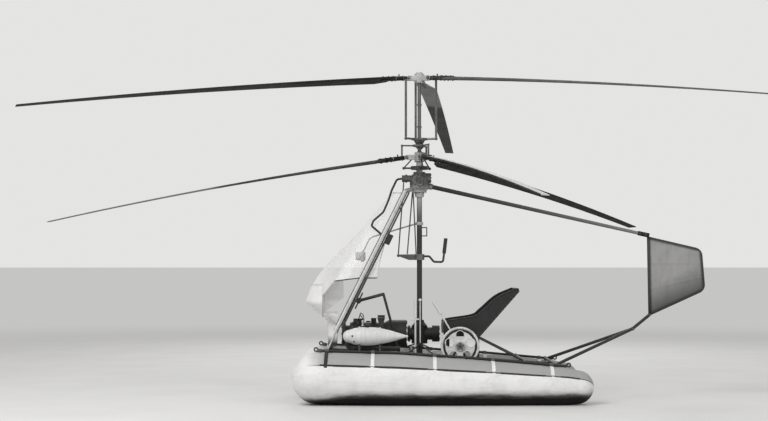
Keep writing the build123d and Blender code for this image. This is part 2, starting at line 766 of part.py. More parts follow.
# Stations of the tank: aft of the mast, radius
TANK_STATIONS = ((-528, 46), (-490, 60), (-440, 67), (-380, 68), (-310, 62), (-220, 42), (-94, 4))
TANK_HEIGHT = 497
TANK_OFFSET = 400
TANK_POSTS = (-450, -300)
TANK_POST_RADIUS = 10


def tank_form(side, skin=0, mode=Mode.ADD):
    """Add a tank, or cut the room of a tank grown by a skin."""
    first = at(TANK_STATIONS[0][0], side * TANK_OFFSET, TANK_HEIGHT)
    points = [(place - TANK_STATIONS[0][0], radius + skin) for place, radius in TANK_STATIONS]
    with BuildSketch(Plane(origin=first, x_dir=(1, 0, 0), z_dir=(0, -1, 0))) as tank_half:
        with BuildLine():
            CenterArc((0, 0), TANK_NOSE + skin, 180, -90)
            Polyline(*points, (points[-1][0], 0), (-TANK_NOSE - skin, 0))
        make_face()
    revolve(tank_half.sketch, axis=Axis(first, (1, 0, 0)), mode=mode)


for side_name, side in SIDES:
    with BuildPart() as tank:
        tank_form(side)
    save(tank, f"tank_{side_name}")

with BuildPart() as tank_posts:
    for _, side in SIDES:
        for place in TANK_POSTS:
            bar(
                at(place, side * TANK_OFFSET, TANK_HEIGHT),
                at(place, side * FLOAT_TRACK / 2, rail_height(place)),
                TANK_POST_RADIUS,
            )
        tank_form(side, GAP, Mode.SUBTRACT)
        corners = rail_points(side)
        bar(corners[0], corners[1], RAIL_RADIUS + GAP, mode=Mode.SUBTRACT)
save(tank_posts, "tank_posts")


# Nose: one tapering form, cut into a lower cap and an upper windscreen

NOSE_FOOT = NOSE_SECTIONS[0][0]
NOSE_HEAD = NOSE_SECTIONS[-1][0]
NOSE_CLEAR = 100  # how far the cuts reach past the form
SCREEN_FORE = SCREEN_EDGE[0][0]
SCREEN_AFT = SCREEN_EDGE[-1][0]


def side_cut(points, mode):
    """Cut or keep, right across the nose, what lies inside a side outline."""
    reach = max(half_width for _, _, half_width, _, _ in NOSE_SECTIONS) + NOSE_CLEAR
    with BuildSketch(Plane(origin=at(0, reach, 0), x_dir=(1, 0, 0), z_dir=(0, -1, 0))) as outline:
        with BuildLine():
            Polyline(*points, close=True)
        make_face()
    extrude(outline.sketch, amount=2 * reach, mode=mode)


def below_seam(strip, seam):
    """Side outline of all that lies ahead of the side opening and below the seam."""
    foot = NOSE_FOOT - NOSE_CLEAR
    return ((SCREEN_FORE, foot), (strip, foot), (strip, seam), (SCREEN_FORE, seam))


with BuildPart() as windscreen:
    nose_form(0, 0)
    nose_form(SHELL, NOSE_CLEAR, Mode.SUBTRACT)
    head = NOSE_HEAD + NOSE_CLEAR
    side_cut((*SCREEN_EDGE, (SCREEN_AFT, head), (SCREEN_FORE, head)), Mode.INTERSECT)
    side_cut(below_seam(NOSE_STRIP, SCREEN_SEAM + GAP), Mode.SUBTRACT)
save(windscreen, "windscreen")

with BuildPart() as nose_cap:
    nose_form(0, 0)
    nose_form(SHELL, NOSE_CLEAR, Mode.SUBTRACT)
    side_cut(below_seam(NOSE_STRIP - GAP, SCREEN_SEAM), Mode.INTERSECT)
save(nose_cap, "nose_cap")

APRON_HALF_WIDTH = 60
APRON_THICKNESS = 6

with BuildPart() as nose_apron:
    front = CROSS_PLACES[0] - CROSS_RADIUS - GAP - APRON_THICKNESS
    block(
        at(front, -APRON_HALF_WIDTH, rail_height(CROSS_PLACES[0]) - KEEL_DROP - KEEL_RADIUS),
        at(front + APRON_THICKNESS, APRON_HALF_WIDTH, NOSE_FOOT - GAP),
    )
save(nose_apron, "nose_apron")

# Pedal frame behind the nose: two bent legs from the keel tubes, a foot bar and two foot plates

PEDAL_LEG_FOOT = -150
PEDAL_KNEE = (-275, 168, 800)
PEDAL_BAR = (-462, 168, 750)
PEDAL_TUBE_RADIUS = 9
PEDAL_BAR_RADIUS = 14
PEDAL_PLATES = (-95, 95)
PEDAL_PLATE = (10, 90, 130)  # thickness, width, height
PEDAL_TILT = 25

with BuildPart() as pedals:
    for _, side in SIDES:
        knee = mirrored(PEDAL_KNEE, side)
        foot = at(PEDAL_LEG_FOOT, side * KEEL_OFFSET, keel_height(PEDAL_LEG_FOOT))
        bar(foot, knee, PEDAL_TUBE_RADIUS)
        ball(knee, PEDAL_TUBE_RADIUS)
        bar(knee, mirrored(PEDAL_BAR, side), PEDAL_TUBE_RADIUS)
    bar(mirrored(PEDAL_BAR, -1), mirrored(PEDAL_BAR, 1), PEDAL_BAR_RADIUS)
    for _, side in SIDES:
        end = mirrored(PEDAL_BAR, side)
        bar(end - Vector(0, PEDAL_BAR_RADIUS, 0), end + Vector(0, PEDAL_BAR_RADIUS, 0), PEDAL_BAR_RADIUS + 5)
    plate_thickness, plate_width, plate_height = PEDAL_PLATE
    for out in PEDAL_PLATES:
        plate_plane = Plane(origin=at(PEDAL_BAR[0], out, PEDAL_BAR[2])).rotated((0, PEDAL_TILT, 0))
        with BuildSketch(plate_plane.offset(-plate_height / 2)):
            Rectangle(plate_thickness, plate_width)
        extrude(amount=plate_height)
    clear_keel()
save(pedals, "pedals")

# Instrument pod on a stay that is clamped to the mast

POD_COLLAR_RADIUS = 28
POD_COLLAR_HALF = 12
POD_STAY_SIDE = 14
# Route of the stay: aft of the mast, height
POD_STAY = ((-20, 1339), (-378, 1232), (-432, 1120))
POD_STAY_RADIUS = 6
POD_STAY_BEND = 60
POD_LOW = 1046
POD_HIGH = 1132
POD_PLACES = (-488, -426)  # front and back of the panel
POD_HALF_WIDTH = 74
DIAL_RADIUS = 31
DIAL_BEZEL = 8
DIAL_SPREAD = 37

with BuildPart() as instrument_pod:
    collar_height = POD_STAY[0][1]
    bar(
        at(0, 0, collar_height - POD_COLLAR_HALF),
        at(0, 0, collar_height + POD_COLLAR_HALF),
        POD_COLLAR_RADIUS,
    )
    bent([at(aft, POD_STAY_SIDE, height) for aft, height in POD_STAY], POD_STAY_RADIUS, [POD_STAY_BEND])
    bar(
        at(0, 0, collar_height - POD_COLLAR_HALF),
        at(0, 0, collar_height + POD_COLLAR_HALF),
        MAST_RADIUS + GAP,
        mode=Mode.SUBTRACT,
    )
    pod_fore, pod_aft = POD_PLACES
    pod_height = (POD_LOW + POD_HIGH) / 2
    with BuildSketch(Plane(origin=at(pod_aft, 0, pod_height), x_dir=(0, 0, 1), z_dir=(-1, 0, 0))):
        RectangleRounded(POD_HIGH - POD_LOW, 2 * POD_HALF_WIDTH, 20)
    extrude(amount=(pod_aft - pod_fore) / 3)
    for out in (-DIAL_SPREAD, DIAL_SPREAD):
        bar(at(pod_aft + DIAL_BEZEL, out, pod_height), at(pod_fore, out, pod_height), DIAL_RADIUS)
save(instrument_pod, "instrument_pod")

# Oil pipe, bent out ahead of the port strut

OIL_PIPE_RADIUS = 8
# Route of the pipe: aft of the mast, side, height, bend radius at that corner
OIL_ROUTE = (
    (SELECTOR_PLACE + 6, -2, SELECTOR_HEIGHT, 0),
    (-172, -18, 1676, 30),
    (-212, -54, 1592, 100),
    (-236, -78, 1516, 100),
    (-276, -98, 1422, 70),
    (-352, -116, 1356, 40),
    (-366, -126, 1318, 20),
    (-284, -149, 1248, 0),
)

with BuildPart() as oil_pipe:
    corners = [at(aft, out, height) for aft, out, height, _ in OIL_ROUTE]
    bent(corners, OIL_PIPE_RADIUS, [bend for _, _, _, bend in OIL_ROUTE[1:-1]])
    bar(
        at(0, 0, SELECTOR_HEIGHT),
        at(SELECTOR_PLACE - GAP, 0, SELECTOR_HEIGHT),
        SELECTOR_RADIUS,
        mode=Mode.SUBTRACT,
    )
    strut_form(-1, GAP, Mode.SUBTRACT)
save(oil_pipe, "oil_pipe")


# Seat bucket on its frame of tubes

SEAT_HALF_WIDTH = 200
SEAT_WALL = 6
SEAT_PAN = 487
SEAT_BAR_RADIUS = 10
SEAT_POST_RADIUS = 8
SEAT_BARS = (215, 440)
SEAT_STRUT_FOOT_SIDE = 300
SEAT_FRONT = 180
SEAT_SIDE_TOP = 600
SEAT_HEEL = 451
SEAT_BACK_TOP = (753, 830)
SEAT_CLEAR = 70  # how far the hollow reaches past the rim
SEAT_FRONT_BEND = 30
SEAT_HEEL_BEND = 22
# Side outline of the bucket: aft of the mast, height, radius of the corner
SEAT_OUTLINE = (
    (SEAT_FRONT, SEAT_SIDE_TOP, 25),
    (SEAT_FRONT, SEAT_PAN, SEAT_FRONT_BEND),
    (SEAT_HEEL, SEAT_PAN, SEAT_HEEL_BEND),
    (*SEAT_BACK_TOP, 12),
    (722, 846, 12),
    (600, 790, 60),
    (430, 640, 90),
)

with BuildPart() as seat_bucket:
    side_plane = Plane(origin=at(0, SEAT_HALF_WIDTH, 0), x_dir=(1, 0, 0), z_dir=(0, -1, 0))
    with BuildSketch(side_plane):
        with BuildLine():
            FilletPolyline(
                *[(place, height) for place, height, _ in SEAT_OUTLINE],
                radius=[bend for _, _, bend in SEAT_OUTLINE],
                close=True,
            )
        make_face()
    extrude(amount=2 * SEAT_HALF_WIDTH)
    with BuildSketch(side_plane.offset(SEAT_WALL)):
        with BuildLine():
            FilletPolyline(
                (SEAT_FRONT + SEAT_WALL, SEAT_SIDE_TOP + SEAT_CLEAR),
                (SEAT_FRONT + SEAT_WALL, SEAT_PAN + SEAT_WALL),
                (SEAT_HEEL - SEAT_WALL / 2, SEAT_PAN + SEAT_WALL),
                (SEAT_BACK_TOP[0] - SEAT_WALL, SEAT_BACK_TOP[1] + SEAT_WALL),
                (SEAT_BACK_TOP[0] - SEAT_CLEAR, SEAT_BACK_TOP[1] + SEAT_CLEAR),
                radius=[0, SEAT_FRONT_BEND - SEAT_WALL, SEAT_HEEL_BEND - SEAT_WALL, 0, 0],
                close=True,
            )
        make_face()
    extrude(amount=2 * (SEAT_HALF_WIDTH - SEAT_WALL), mode=Mode.SUBTRACT)
save(seat_bucket, "seat_bucket")

CUSHION_THICKNESS = 50

with BuildPart() as seat_cushion:
    block(
        at(SEAT_FRONT + SEAT_FRONT_BEND + 2, -SEAT_HALF_WIDTH + SEAT_WALL + 8, SEAT_PAN + SEAT_WALL + GAP),
        at(430, SEAT_HALF_WIDTH - SEAT_WALL - 8, SEAT_PAN + SEAT_WALL + GAP + CUSHION_THICKNESS),
    )
save(seat_cushion, "seat_cushion")

with BuildPart() as seat_frame:
    bar_height = SEAT_PAN - GAP - SEAT_BAR_RADIUS
    for place in SEAT_BARS:
        bar(at(place, -SEAT_HALF_WIDTH, bar_height), at(place, SEAT_HALF_WIDTH, bar_height), SEAT_BAR_RADIUS)
        for _, side in SIDES:
            bar(
                at(place, side * KEEL_OFFSET, bar_height),
                at(place, side * KEEL_OFFSET, keel_height(place)),
                SEAT_POST_RADIUS,
            )
    for _, side in SIDES:
        bar(
            at(SEAT_BARS[1], side * (SEAT_HALF_WIDTH - SEAT_BAR_RADIUS), bar_height),
            at(CROSS_PLACES[2], side * SEAT_STRUT_FOOT_SIDE, rail_height(CROSS_PLACES[2])),
            SEAT_POST_RADIUS,
        )
    clear_keel()
    clear_cross(CROSS_PLACES[2])
save(seat_frame, "seat_frame")

# Stays from the rails up to the lower gearbox's pedestal, two on each side

STAY_RADIUS = 6
STAY_TOP = (8, 138, 418)  # ahead of the mast for the front stays, aft of it for the others
STAY_FOOT = 104

with BuildPart() as rail_stays:
    for _, side in SIDES:
        for end in (-1, 1):
            place = end * STAY_FOOT
            stay_top, stay_side, stay_height = STAY_TOP
            bar(
                at(place, side * FLOAT_TRACK / 2, rail_height(place)),
                at(end * stay_top, side * stay_side, stay_height),
                STAY_RADIUS,
            )
        rail_form(side, RAIL_RADIUS + GAP, Mode.SUBTRACT)
    block(
        at(-PEDESTAL_WIDTH / 2 - GAP, -KEEL_OFFSET - KEEL_RADIUS - GAP, KEEL_AFT.Z),
        at(PEDESTAL_WIDTH / 2 + GAP, KEEL_OFFSET + KEEL_RADIUS + GAP, ENGINE_HEIGHT),
        mode=Mode.SUBTRACT,
    )
save(rail_stays, "rail_stays")


# Hand wheel on an axle beside the seat

WHEEL_PLACE = 297
WHEEL_HEIGHT = 416
WHEEL_OFFSET = -245
WHEEL_RADIUS = 145
WHEEL_RIM_RADIUS = 9
WHEEL_HUB_RADIUS = 34
WHEEL_HUB_HALF = 16
WHEEL_WEB = 6
WHEEL_HOLES = 5
WHEEL_HOLE_RADIUS = 31
WHEEL_HOLE_PLACE = 84
AXLE_RADIUS = 8
AXLE_COLLAR = 13
BRACKET_SPREAD = 60

with BuildPart() as hand_wheel:
    wheel_plane = Plane(origin=at(WHEEL_PLACE, WHEEL_OFFSET, WHEEL_HEIGHT), x_dir=(1, 0, 0), z_dir=(0, -1, 0))
    with BuildSketch(Plane(origin=wheel_plane.origin, x_dir=(1, 0, 0), z_dir=(0, 0, 1))):
        with Locations((WHEEL_RADIUS - WHEEL_RIM_RADIUS, 0)):
            Circle(WHEEL_RIM_RADIUS)
    revolve(axis=Axis(wheel_plane.origin, (0, 1, 0)))
    with BuildSketch(wheel_plane):
        Circle(WHEEL_RADIUS - WHEEL_RIM_RADIUS)
        with PolarLocations(WHEEL_HOLE_PLACE, WHEEL_HOLES, start_angle=90):
            Circle(WHEEL_HOLE_RADIUS, mode=Mode.SUBTRACT)
    extrude(amount=WHEEL_WEB / 2, both=True)
    side_reach = Vector(0, WHEEL_HUB_HALF, 0)
    bar(wheel_plane.origin - side_reach, wheel_plane.origin + side_reach, WHEEL_HUB_RADIUS)
    bar(
        wheel_plane.origin - side_reach,
        wheel_plane.origin + side_reach,
        AXLE_RADIUS + RUNNING,
        mode=Mode.SUBTRACT,
    )
save(hand_wheel, "hand_wheel")

with BuildPart() as wheel_bracket:
    inner = at(WHEEL_PLACE, -KEEL_OFFSET, WHEEL_HEIGHT)
    outer = at(WHEEL_PLACE, WHEEL_OFFSET - WHEEL_HUB_HALF - 6, WHEEL_HEIGHT)
    bar(inner, outer, AXLE_RADIUS)
    bar(inner, at(WHEEL_PLACE, WHEEL_OFFSET + WHEEL_HUB_HALF + GAP, WHEEL_HEIGHT), AXLE_COLLAR)
    for place in (WHEEL_PLACE - BRACKET_SPREAD, WHEEL_PLACE + BRACKET_SPREAD):
        bar(inner, at(place, -KEEL_OFFSET, keel_height(place)), AXLE_RADIUS)
    clear_keel()
save(wheel_bracket, "wheel_bracket")


# Tail: boom, fin and the two tubes that brace it from the floats

with BuildPart() as tail_boom:
    root = at(*BOOM_ROOT)
    tip = at(*BOOM_TIP)
    boom_run = (tip - root).normalized()
    cone(root + boom_run * (BOOM_SOCKET_END + GAP), tip, BOOM_ROOT_RADIUS, BOOM_TIP_RADIUS)
save(tail_boom, "tail_boom")

with BuildPart() as fin:
    corners = [at(place, 0, height) for place, height in FIN_CORNERS]
    high, low = corners[0], corners[-1]
    with BuildSketch(Plane(origin=at(0, FIN_SKIN, 0), x_dir=(1, 0, 0), z_dir=(0, -1, 0))):
        with BuildLine():
            FilletPolyline(*FIN_CORNERS, radius=[0, *FIN_BENDS, 0], close=True)
        make_face()
    extrude(amount=2 * FIN_SKIN)
    bent(corners, FIN_EDGE_RADIUS, FIN_BENDS)
    bar(high, low, FIN_POST_RADIUS)
    ball(high, FIN_POST_RADIUS)
    ball(low, FIN_POST_RADIUS)
    for share in FIN_RIBS:
        post_point = high + (low - high) * share
        edge_point = corners[1] + (corners[2] - corners[1]) * share
        bar(post_point, edge_point, FIN_RIB_RADIUS)
    boom_tip = at(*BOOM_TIP)
    boom_run = (boom_tip - at(*BOOM_ROOT)).normalized()
    bar(boom_tip - boom_run * FIN_SOCKET_LENGTH, boom_tip + boom_run * FIN_SOCKET_RADIUS, FIN_SOCKET_RADIUS)
    cone(
        at(*BOOM_ROOT),
        boom_tip + boom_run * GAP,
        BOOM_ROOT_RADIUS + GAP,
        BOOM_TIP_RADIUS + GAP,
        mode=Mode.SUBTRACT,
    )
save(fin, "fin")

with BuildPart() as tail_stays:
    junction = at(*TAIL_JUNCTION)
    aft_cross = CROSS_PLACES[3]
    for _, side in SIDES:
        bar(junction, at(aft_cross, side * TAIL_FOOT_SIDE, rail_height(aft_cross)), TAIL_TUBE_RADIUS)
    ball(junction, TAIL_TUBE_RADIUS + 3)
    bar(junction, low, TAIL_TUBE_RADIUS)
    ball(low, FIN_POST_RADIUS + GAP, mode=Mode.SUBTRACT)
    for end in (high, corners[2]):
        bar(low, end, FIN_POST_RADIUS + GAP, mode=Mode.SUBTRACT)
    clear_cross(aft_cross)
save(tail_stays, "tail_stays")


# Rotor heads and blades


def hub_form(height, azimuths):
    """Add a turned hub with a forked arm and hinge pin towards each blade."""
    low = at(0, 0, height - HUB_HALF_HEIGHT)
    high = at(0, 0, height + HUB_HALF_HEIGHT)
    bar(low, high, HUB_RADIUS)
    for azimuth in azimuths:
        outward = Vector(cos(radians(azimuth)), sin(radians(azimuth)), 0)
        along = Vector(-outward.Y, outward.X, 0)
        centre = at(0, 0, height)
        hinge = centre + outward * HINGE_RADIUS
        half = FORK_GAP / 2 + FORK_CHEEK
        with BuildSketch(Plane(origin=hinge - along * half, x_dir=outward, z_dir=along)) as cheek:
            Circle(FORK_RADIUS)
            with Locations((-HINGE_RADIUS / 2, 0)):
                Rectangle(HINGE_RADIUS, 2 * FORK_RADIUS)
        extrude(cheek.sketch, amount=2 * half)
        slot_length = 2 * FORK_RADIUS + 4
        with BuildSketch(Plane(origin=hinge, x_dir=outward, z_dir=(0, 0, 1))) as slot:
            with Locations((2, 0)):
                Rectangle(slot_length + 4, FORK_GAP)
        extrude(slot.sketch, amount=2 * FORK_RADIUS, both=True, mode=Mode.SUBTRACT)
        bar(hinge - along * (half + 5), hinge + along * (half + 5), HINGE_PIN)


def blade_frame(azimuth, droop, height):
    """A blade's plane: origin on its hinge, X out along the cuff, Z up."""
    slope = DROOP_AT_HINGE * droop / (ROTOR_RADIUS - HINGE_RADIUS)
    outward = Vector(cos(radians(azimuth)), sin(radians(azimuth)), 0)
    centre = at(0, 0, height)
    return Plane(
        origin=centre + outward * HINGE_RADIUS,
        x_dir=outward - Vector(0, 0, slope),
        z_dir=outward * slope + Vector(0, 0, 1),
    )


def blade_section(frame, droop, spin, station, ahead, behind, thickness, pitch):
    """One aerofoil of a blade: round nose, curved top, flat underside."""
    reach = station - HINGE_RADIUS
    share = reach / (ROTOR_RADIUS - HINGE_RADIUS)
    bend = (1 - DROOP_AT_HINGE) * droop * share**2
    centre = frame.from_local_coords(Vector(reach, 0, -bend))
    section_plane = Plane(origin=centre, x_dir=frame.y_dir, z_dir=frame.x_dir)
    lead = spin * ahead
    tail = -spin * behind
    nose = spin * (ahead - 0.45 * thickness)
    crest = spin * (ahead - 0.23 * (ahead + behind))
    edge = 0.12 * thickness
    with BuildSketch(section_plane) as section:
        with BuildLine(Plane.XY.rotated((0, 0, spin * pitch))):
            ThreePointArc((nose, -0.4 * thickness), (lead, 0), (nose, 0.42 * thickness))
            ThreePointArc((nose, 0.42 * thickness), (crest, 0.6 * thickness), (tail, edge - 0.3 * thickness))
            Line((tail, edge - 0.3 * thickness), (tail, -edge - 0.3 * thickness))
            Line((tail, -edge - 0.3 * thickness), (nose, -0.4 * thickness))
        make_face()
    return section.sketch.face()


def horn_tip(azimuth, droop, height):
    """Middle of the ball on a blade's pitch horn."""
    return blade_frame(azimuth, droop, height).from_local_coords(Vector(HORN_PLACE, HORN_REACH, 0))


def blade_form(azimuth, droop, height, spin):
    """Add a blade with its eye, cuff, pitch horn, root plates and blunt root."""
    frame = blade_frame(azimuth, droop, height)
    eye_half = FORK_GAP / 2 - GAP

    def local(x, y=0.0, z=0.0):
        return frame.from_local_coords(Vector(x, y, z))

    bar(local(0, -eye_half), local(0, eye_half), FORK_RADIUS - 3)
    with BuildSketch(Plane(origin=local(0), x_dir=frame.y_dir, z_dir=frame.x_dir)) as neck:
        Rectangle(2 * eye_half, 2 * (FORK_RADIUS - 4))
    extrude(neck.sketch, amount=CUFF_START)
    bar(local(CUFF_START), local(CUFF_END), CUFF_RADIUS)
    bar(local(0, -FORK_GAP), local(0, FORK_GAP), HINGE_PIN + GAP, mode=Mode.SUBTRACT)
    bar(local(HORN_PLACE), local(HORN_PLACE, HORN_REACH), HORN_RADIUS)
    ball(local(HORN_PLACE, HORN_REACH), HORN_BALL)
    plate_start, plate_end = ROOT_PLATE
    with BuildSketch(Plane(origin=local(plate_start), x_dir=frame.y_dir, z_dir=frame.x_dir)) as plates:
        Rectangle(2 * ROOT_PLATE_HALF_WIDTH, 2 * ROOT_PLATE_HALF_HEIGHT)
    extrude(plates.sketch, amount=plate_end - plate_start)
    for stations in (ROOT_SECTIONS, SPAN_SECTIONS):
        loft([blade_section(frame, droop, spin, *station) for station in stations])


def save_blades(prefix, blades, height, spin):
    """Write the three blades of a rotor."""
    for number, (azimuth, droop) in enumerate(blades, 1):
        with BuildPart() as blade:
            blade_form(azimuth, droop, height, spin)
        save(blade, f"{prefix}_blade_{number}")


UPPER_SPIN = 1  # seen from above, the upper rotor turns anticlockwise
LOWER_SPIN = -1
save_blades("upper", UPPER_BLADES, UPPER_HUB, UPPER_SPIN)
save_blades("lower", LOWER_BLADES, LOWER_HUB, LOWER_SPIN)

STACK_FOOT = GEARBOX_TOP - GEARBOX_BORE_DEPTH + GAP

with BuildPart() as lower_hub:
    hub_form(LOWER_HUB, [azimuth for azimuth, _ in LOWER_BLADES])
    bar(at(0, 0, STACK_FOOT), at(0, 0, LOWER_HUB), SLEEVE_RADIUS)
    bar(at(0, 0, STACK_FOOT), at(0, 0, LOWER_HUB + HUB_HALF_HEIGHT), SHAFT_RADIUS + RUNNING, mode=Mode.SUBTRACT)
save(lower_hub, "lower_hub")

with BuildPart() as upper_hub:
    hub_form(UPPER_HUB, [azimuth for azimuth, _ in UPPER_BLADES])
    cone(
        at(0, 0, UPPER_HUB + HUB_HALF_HEIGHT),
        at(0, 0, UPPER_HUB + HUB_HALF_HEIGHT + HUB_CAP),
        HUB_RADIUS - 10,
        HUB_RADIUS - 16,
    )
save(upper_hub, "upper_hub")

with BuildPart() as rotor_shaft:
    bar(at(0, 0, STACK_FOOT), at(0, 0, UPPER_HUB - HUB_HALF_HEIGHT - GAP), SHAFT_RADIUS)
save(rotor_shaft, "rotor_shaft")

# Swash ring round the lower sleeve, with an arm and a slanting link under each lower blade

SWASH_SPACE = 18  # clear height over the gearbox
SWASH_RADIUS = 66
SWASH_HALF = 13
SWASH_HEIGHT = GEARBOX_TOP + SWASH_SPACE + SWASH_HALF
SWASH_ARM = 122
SWASH_ARM_RADIUS = 7
SWASH_BALL = 11
LINK_RADIUS = 5
LINK_TOP = 62  # distance from the mast at which a link meets the hub's arm

with BuildPart() as swash_ring:
    ring_low = at(0, 0, SWASH_HEIGHT - SWASH_HALF)
    ring_high = at(0, 0, SWASH_HEIGHT + SWASH_HALF)
    bar(ring_low, ring_high, SWASH_RADIUS)
    for azimuth, _ in LOWER_BLADES:
        outward = Vector(cos(radians(azimuth)), sin(radians(azimuth)), 0)
        tip = at(0, 0, SWASH_HEIGHT) + outward * SWASH_ARM
        top = at(0, 0, LOWER_HUB - FORK_RADIUS) + outward * LINK_TOP
        bar(at(0, 0, SWASH_HEIGHT), tip, SWASH_ARM_RADIUS)
        ball(tip, SWASH_BALL)
        bar(tip, top, LINK_RADIUS)
    bar(ring_low, ring_high, SLEEVE_RADIUS + GAP, mode=Mode.SUBTRACT)
    bar(
        at(0, 0, LOWER_HUB - FORK_RADIUS - GAP),
        at(0, 0, LOWER_HUB),
        SWASH_ARM,
        mode=Mode.SUBTRACT,
    )
save(swash_ring, "swash_ring")

# Star on the upper shaft, its pitch rods, and the turning ring and crossed links under it

STAR_RADIUS = 62
STAR_HALF = 7
STAR_ARM_RADIUS = 8
STAR_SKIRT = 34
SKIRT_HIGH_RADIUS = 46
SKIRT_LOW_RADIUS = 26
PITCH_ROD_RADIUS = 9
ROD_BALL = 12
RACE_HALF = 8
RACE_RADIUS = 50
RACE_SPACE = 1.3
RACE_BORE = 18
SCISSOR_RISE = 46
SCISSOR_RADIUS = 6
SCISSOR_SIDE = 28
SCISSOR_TOP = 36
SCISSOR_FOOT = -18
HUB_TOP = LOWER_HUB + HUB_HALF_HEIGHT
RACE_HEIGHT = HUB_TOP + SCISSOR_RISE + RACE_HALF
SKIRT_FOOT = RACE_HEIGHT + RACE_HALF + RACE_SPACE
STAR_HEIGHT = SKIRT_FOOT + STAR_SKIRT + STAR_HALF

with BuildPart() as star:
    bar(at(0, 0, STAR_HEIGHT - STAR_HALF), at(0, 0, STAR_HEIGHT + STAR_HALF), STAR_RADIUS)
    cone(at(0, 0, SKIRT_FOOT), at(0, 0, SKIRT_FOOT + STAR_SKIRT), SKIRT_LOW_RADIUS, SKIRT_HIGH_RADIUS)
    for azimuth, droop in UPPER_BLADES:
        horn = horn_tip(azimuth, droop, UPPER_HUB)
        tip = Vector(horn.X, horn.Y, STAR_HEIGHT)
        bar(at(0, 0, STAR_HEIGHT), tip, STAR_ARM_RADIUS)
        ball(tip, ROD_BALL)
    bore_top = STAR_HEIGHT + STAR_ARM_RADIUS
    bar(at(0, 0, SKIRT_FOOT), at(0, 0, bore_top), SHAFT_RADIUS + GAP, mode=Mode.SUBTRACT)
save(star, "pitch_star")

with BuildPart() as pitch_rods:
    for azimuth, droop in UPPER_BLADES:
        horn = horn_tip(azimuth, droop, UPPER_HUB)
        bar(
            Vector(horn.X, horn.Y, STAR_HEIGHT + ROD_BALL + GAP),
            Vector(horn.X, horn.Y, horn.Z - HORN_BALL - GAP),
            PITCH_ROD_RADIUS,
        )
save(pitch_rods, "pitch_rods")

with BuildPart() as scissor_ring:
    race_low = at(0, 0, RACE_HEIGHT - RACE_HALF)
    race_high = at(0, 0, RACE_HEIGHT + RACE_HALF)
    bar(race_low, race_high, RACE_RADIUS)
    for azimuth, droop in LOWER_BLADES:
        horn = horn_tip(azimuth, droop, LOWER_HUB)
        tip = Vector(horn.X, horn.Y, RACE_HEIGHT)
        bar(at(0, 0, RACE_HEIGHT), tip, SCISSOR_RADIUS)
        ball(tip, SCISSOR_RADIUS + 3)
        bar(tip, Vector(horn.X, horn.Y, horn.Z + HORN_BALL + GAP), SCISSOR_RADIUS + 1)
    for _, side in SIDES:
        bar(
            at(side * SCISSOR_TOP, side * SCISSOR_SIDE, RACE_HEIGHT),
            at(side * SCISSOR_FOOT, side * SCISSOR_SIDE, HUB_TOP),
            SCISSOR_RADIUS,
        )
    bar(race_low, race_high, RACE_BORE, mode=Mode.SUBTRACT)
    bar(at(0, 0, LOWER_HUB), at(0, 0, HUB_TOP + GAP), HUB_RADIUS + SCISSOR_TOP, mode=Mode.SUBTRACT)
save(scissor_ring, "scissor_ring")


# Controls

COLLAR_LOW = 1060
COLLAR_HIGH = 1105
COLLAR_RADIUS = 38
PLATFORM_REACH = -153
PLATFORM_WIDTH = 12
PLATFORM_DROP = 3  # how far the arm's tip lies below the collar's top
PLATFORM_TIP = 16  # height of the arm at its tip
PLATFORM_HEEL = -80  # place where the arm's underside starts to rise
PLATFORM_BALL = 12

with BuildPart() as control_platform:
    bar(at(0, 0, COLLAR_LOW), at(0, 0, COLLAR_HIGH), COLLAR_RADIUS)
    tip_high = COLLAR_HIGH - PLATFORM_DROP
    tip_low = tip_high - PLATFORM_TIP
    with BuildSketch(Plane(origin=at(0, PLATFORM_WIDTH / 2, 0), x_dir=(1, 0, 0), z_dir=(0, -1, 0))):
        with BuildLine():
            Polyline(
                (0, COLLAR_HIGH),
                (PLATFORM_REACH, tip_high),
                (PLATFORM_REACH, tip_low),
                (PLATFORM_HEEL, COLLAR_LOW),
                (0, COLLAR_LOW),
                close=True,
            )
        make_face()
    extrude(amount=PLATFORM_WIDTH)
    ball_middle = at(PLATFORM_REACH - PLATFORM_BALL * 2 / 3, 0, (tip_high + tip_low) / 2)
    ball(ball_middle, PLATFORM_BALL)
    bar(at(0, 0, COLLAR_LOW), at(0, 0, COLLAR_HIGH), MAST_RADIUS + GAP, mode=Mode.SUBTRACT)
save(control_platform, "control_platform")

STICK_RADIUS = 8
STICK_BEND = 18
STICK_HEIGHT = (COLLAR_LOW + COLLAR_HIGH) / 2 + 6
STICK_DIP = 42
STICK_TOP = 1212
GRIP_RADIUS = 14
GRIP_LENGTH = 102
# Route of the stick: aft of the mast, height
STICK_ROUTE = (
    (COLLAR_RADIUS + GAP, STICK_HEIGHT),
    (75, STICK_HEIGHT),
    (110, STICK_HEIGHT - STICK_DIP),
    (180, STICK_HEIGHT - STICK_DIP - 2),
    (200, STICK_TOP),
)

with BuildPart() as cyclic_stick:
    route = [at(place, 0, height) for place, height in STICK_ROUTE]
    bent(route, STICK_RADIUS, [STICK_BEND, STICK_BEND, STICK_BEND])
    grip_run = (route[-1] - route[-2]).normalized()
    bar(route[-1] - grip_run * GRIP_LENGTH, route[-1] + grip_run * GRIP_RADIUS, GRIP_RADIUS)
save(cyclic_stick, "cyclic_stick")

# Hand levers: one on the wheel's axle, two on a stand at the keel tube's port side

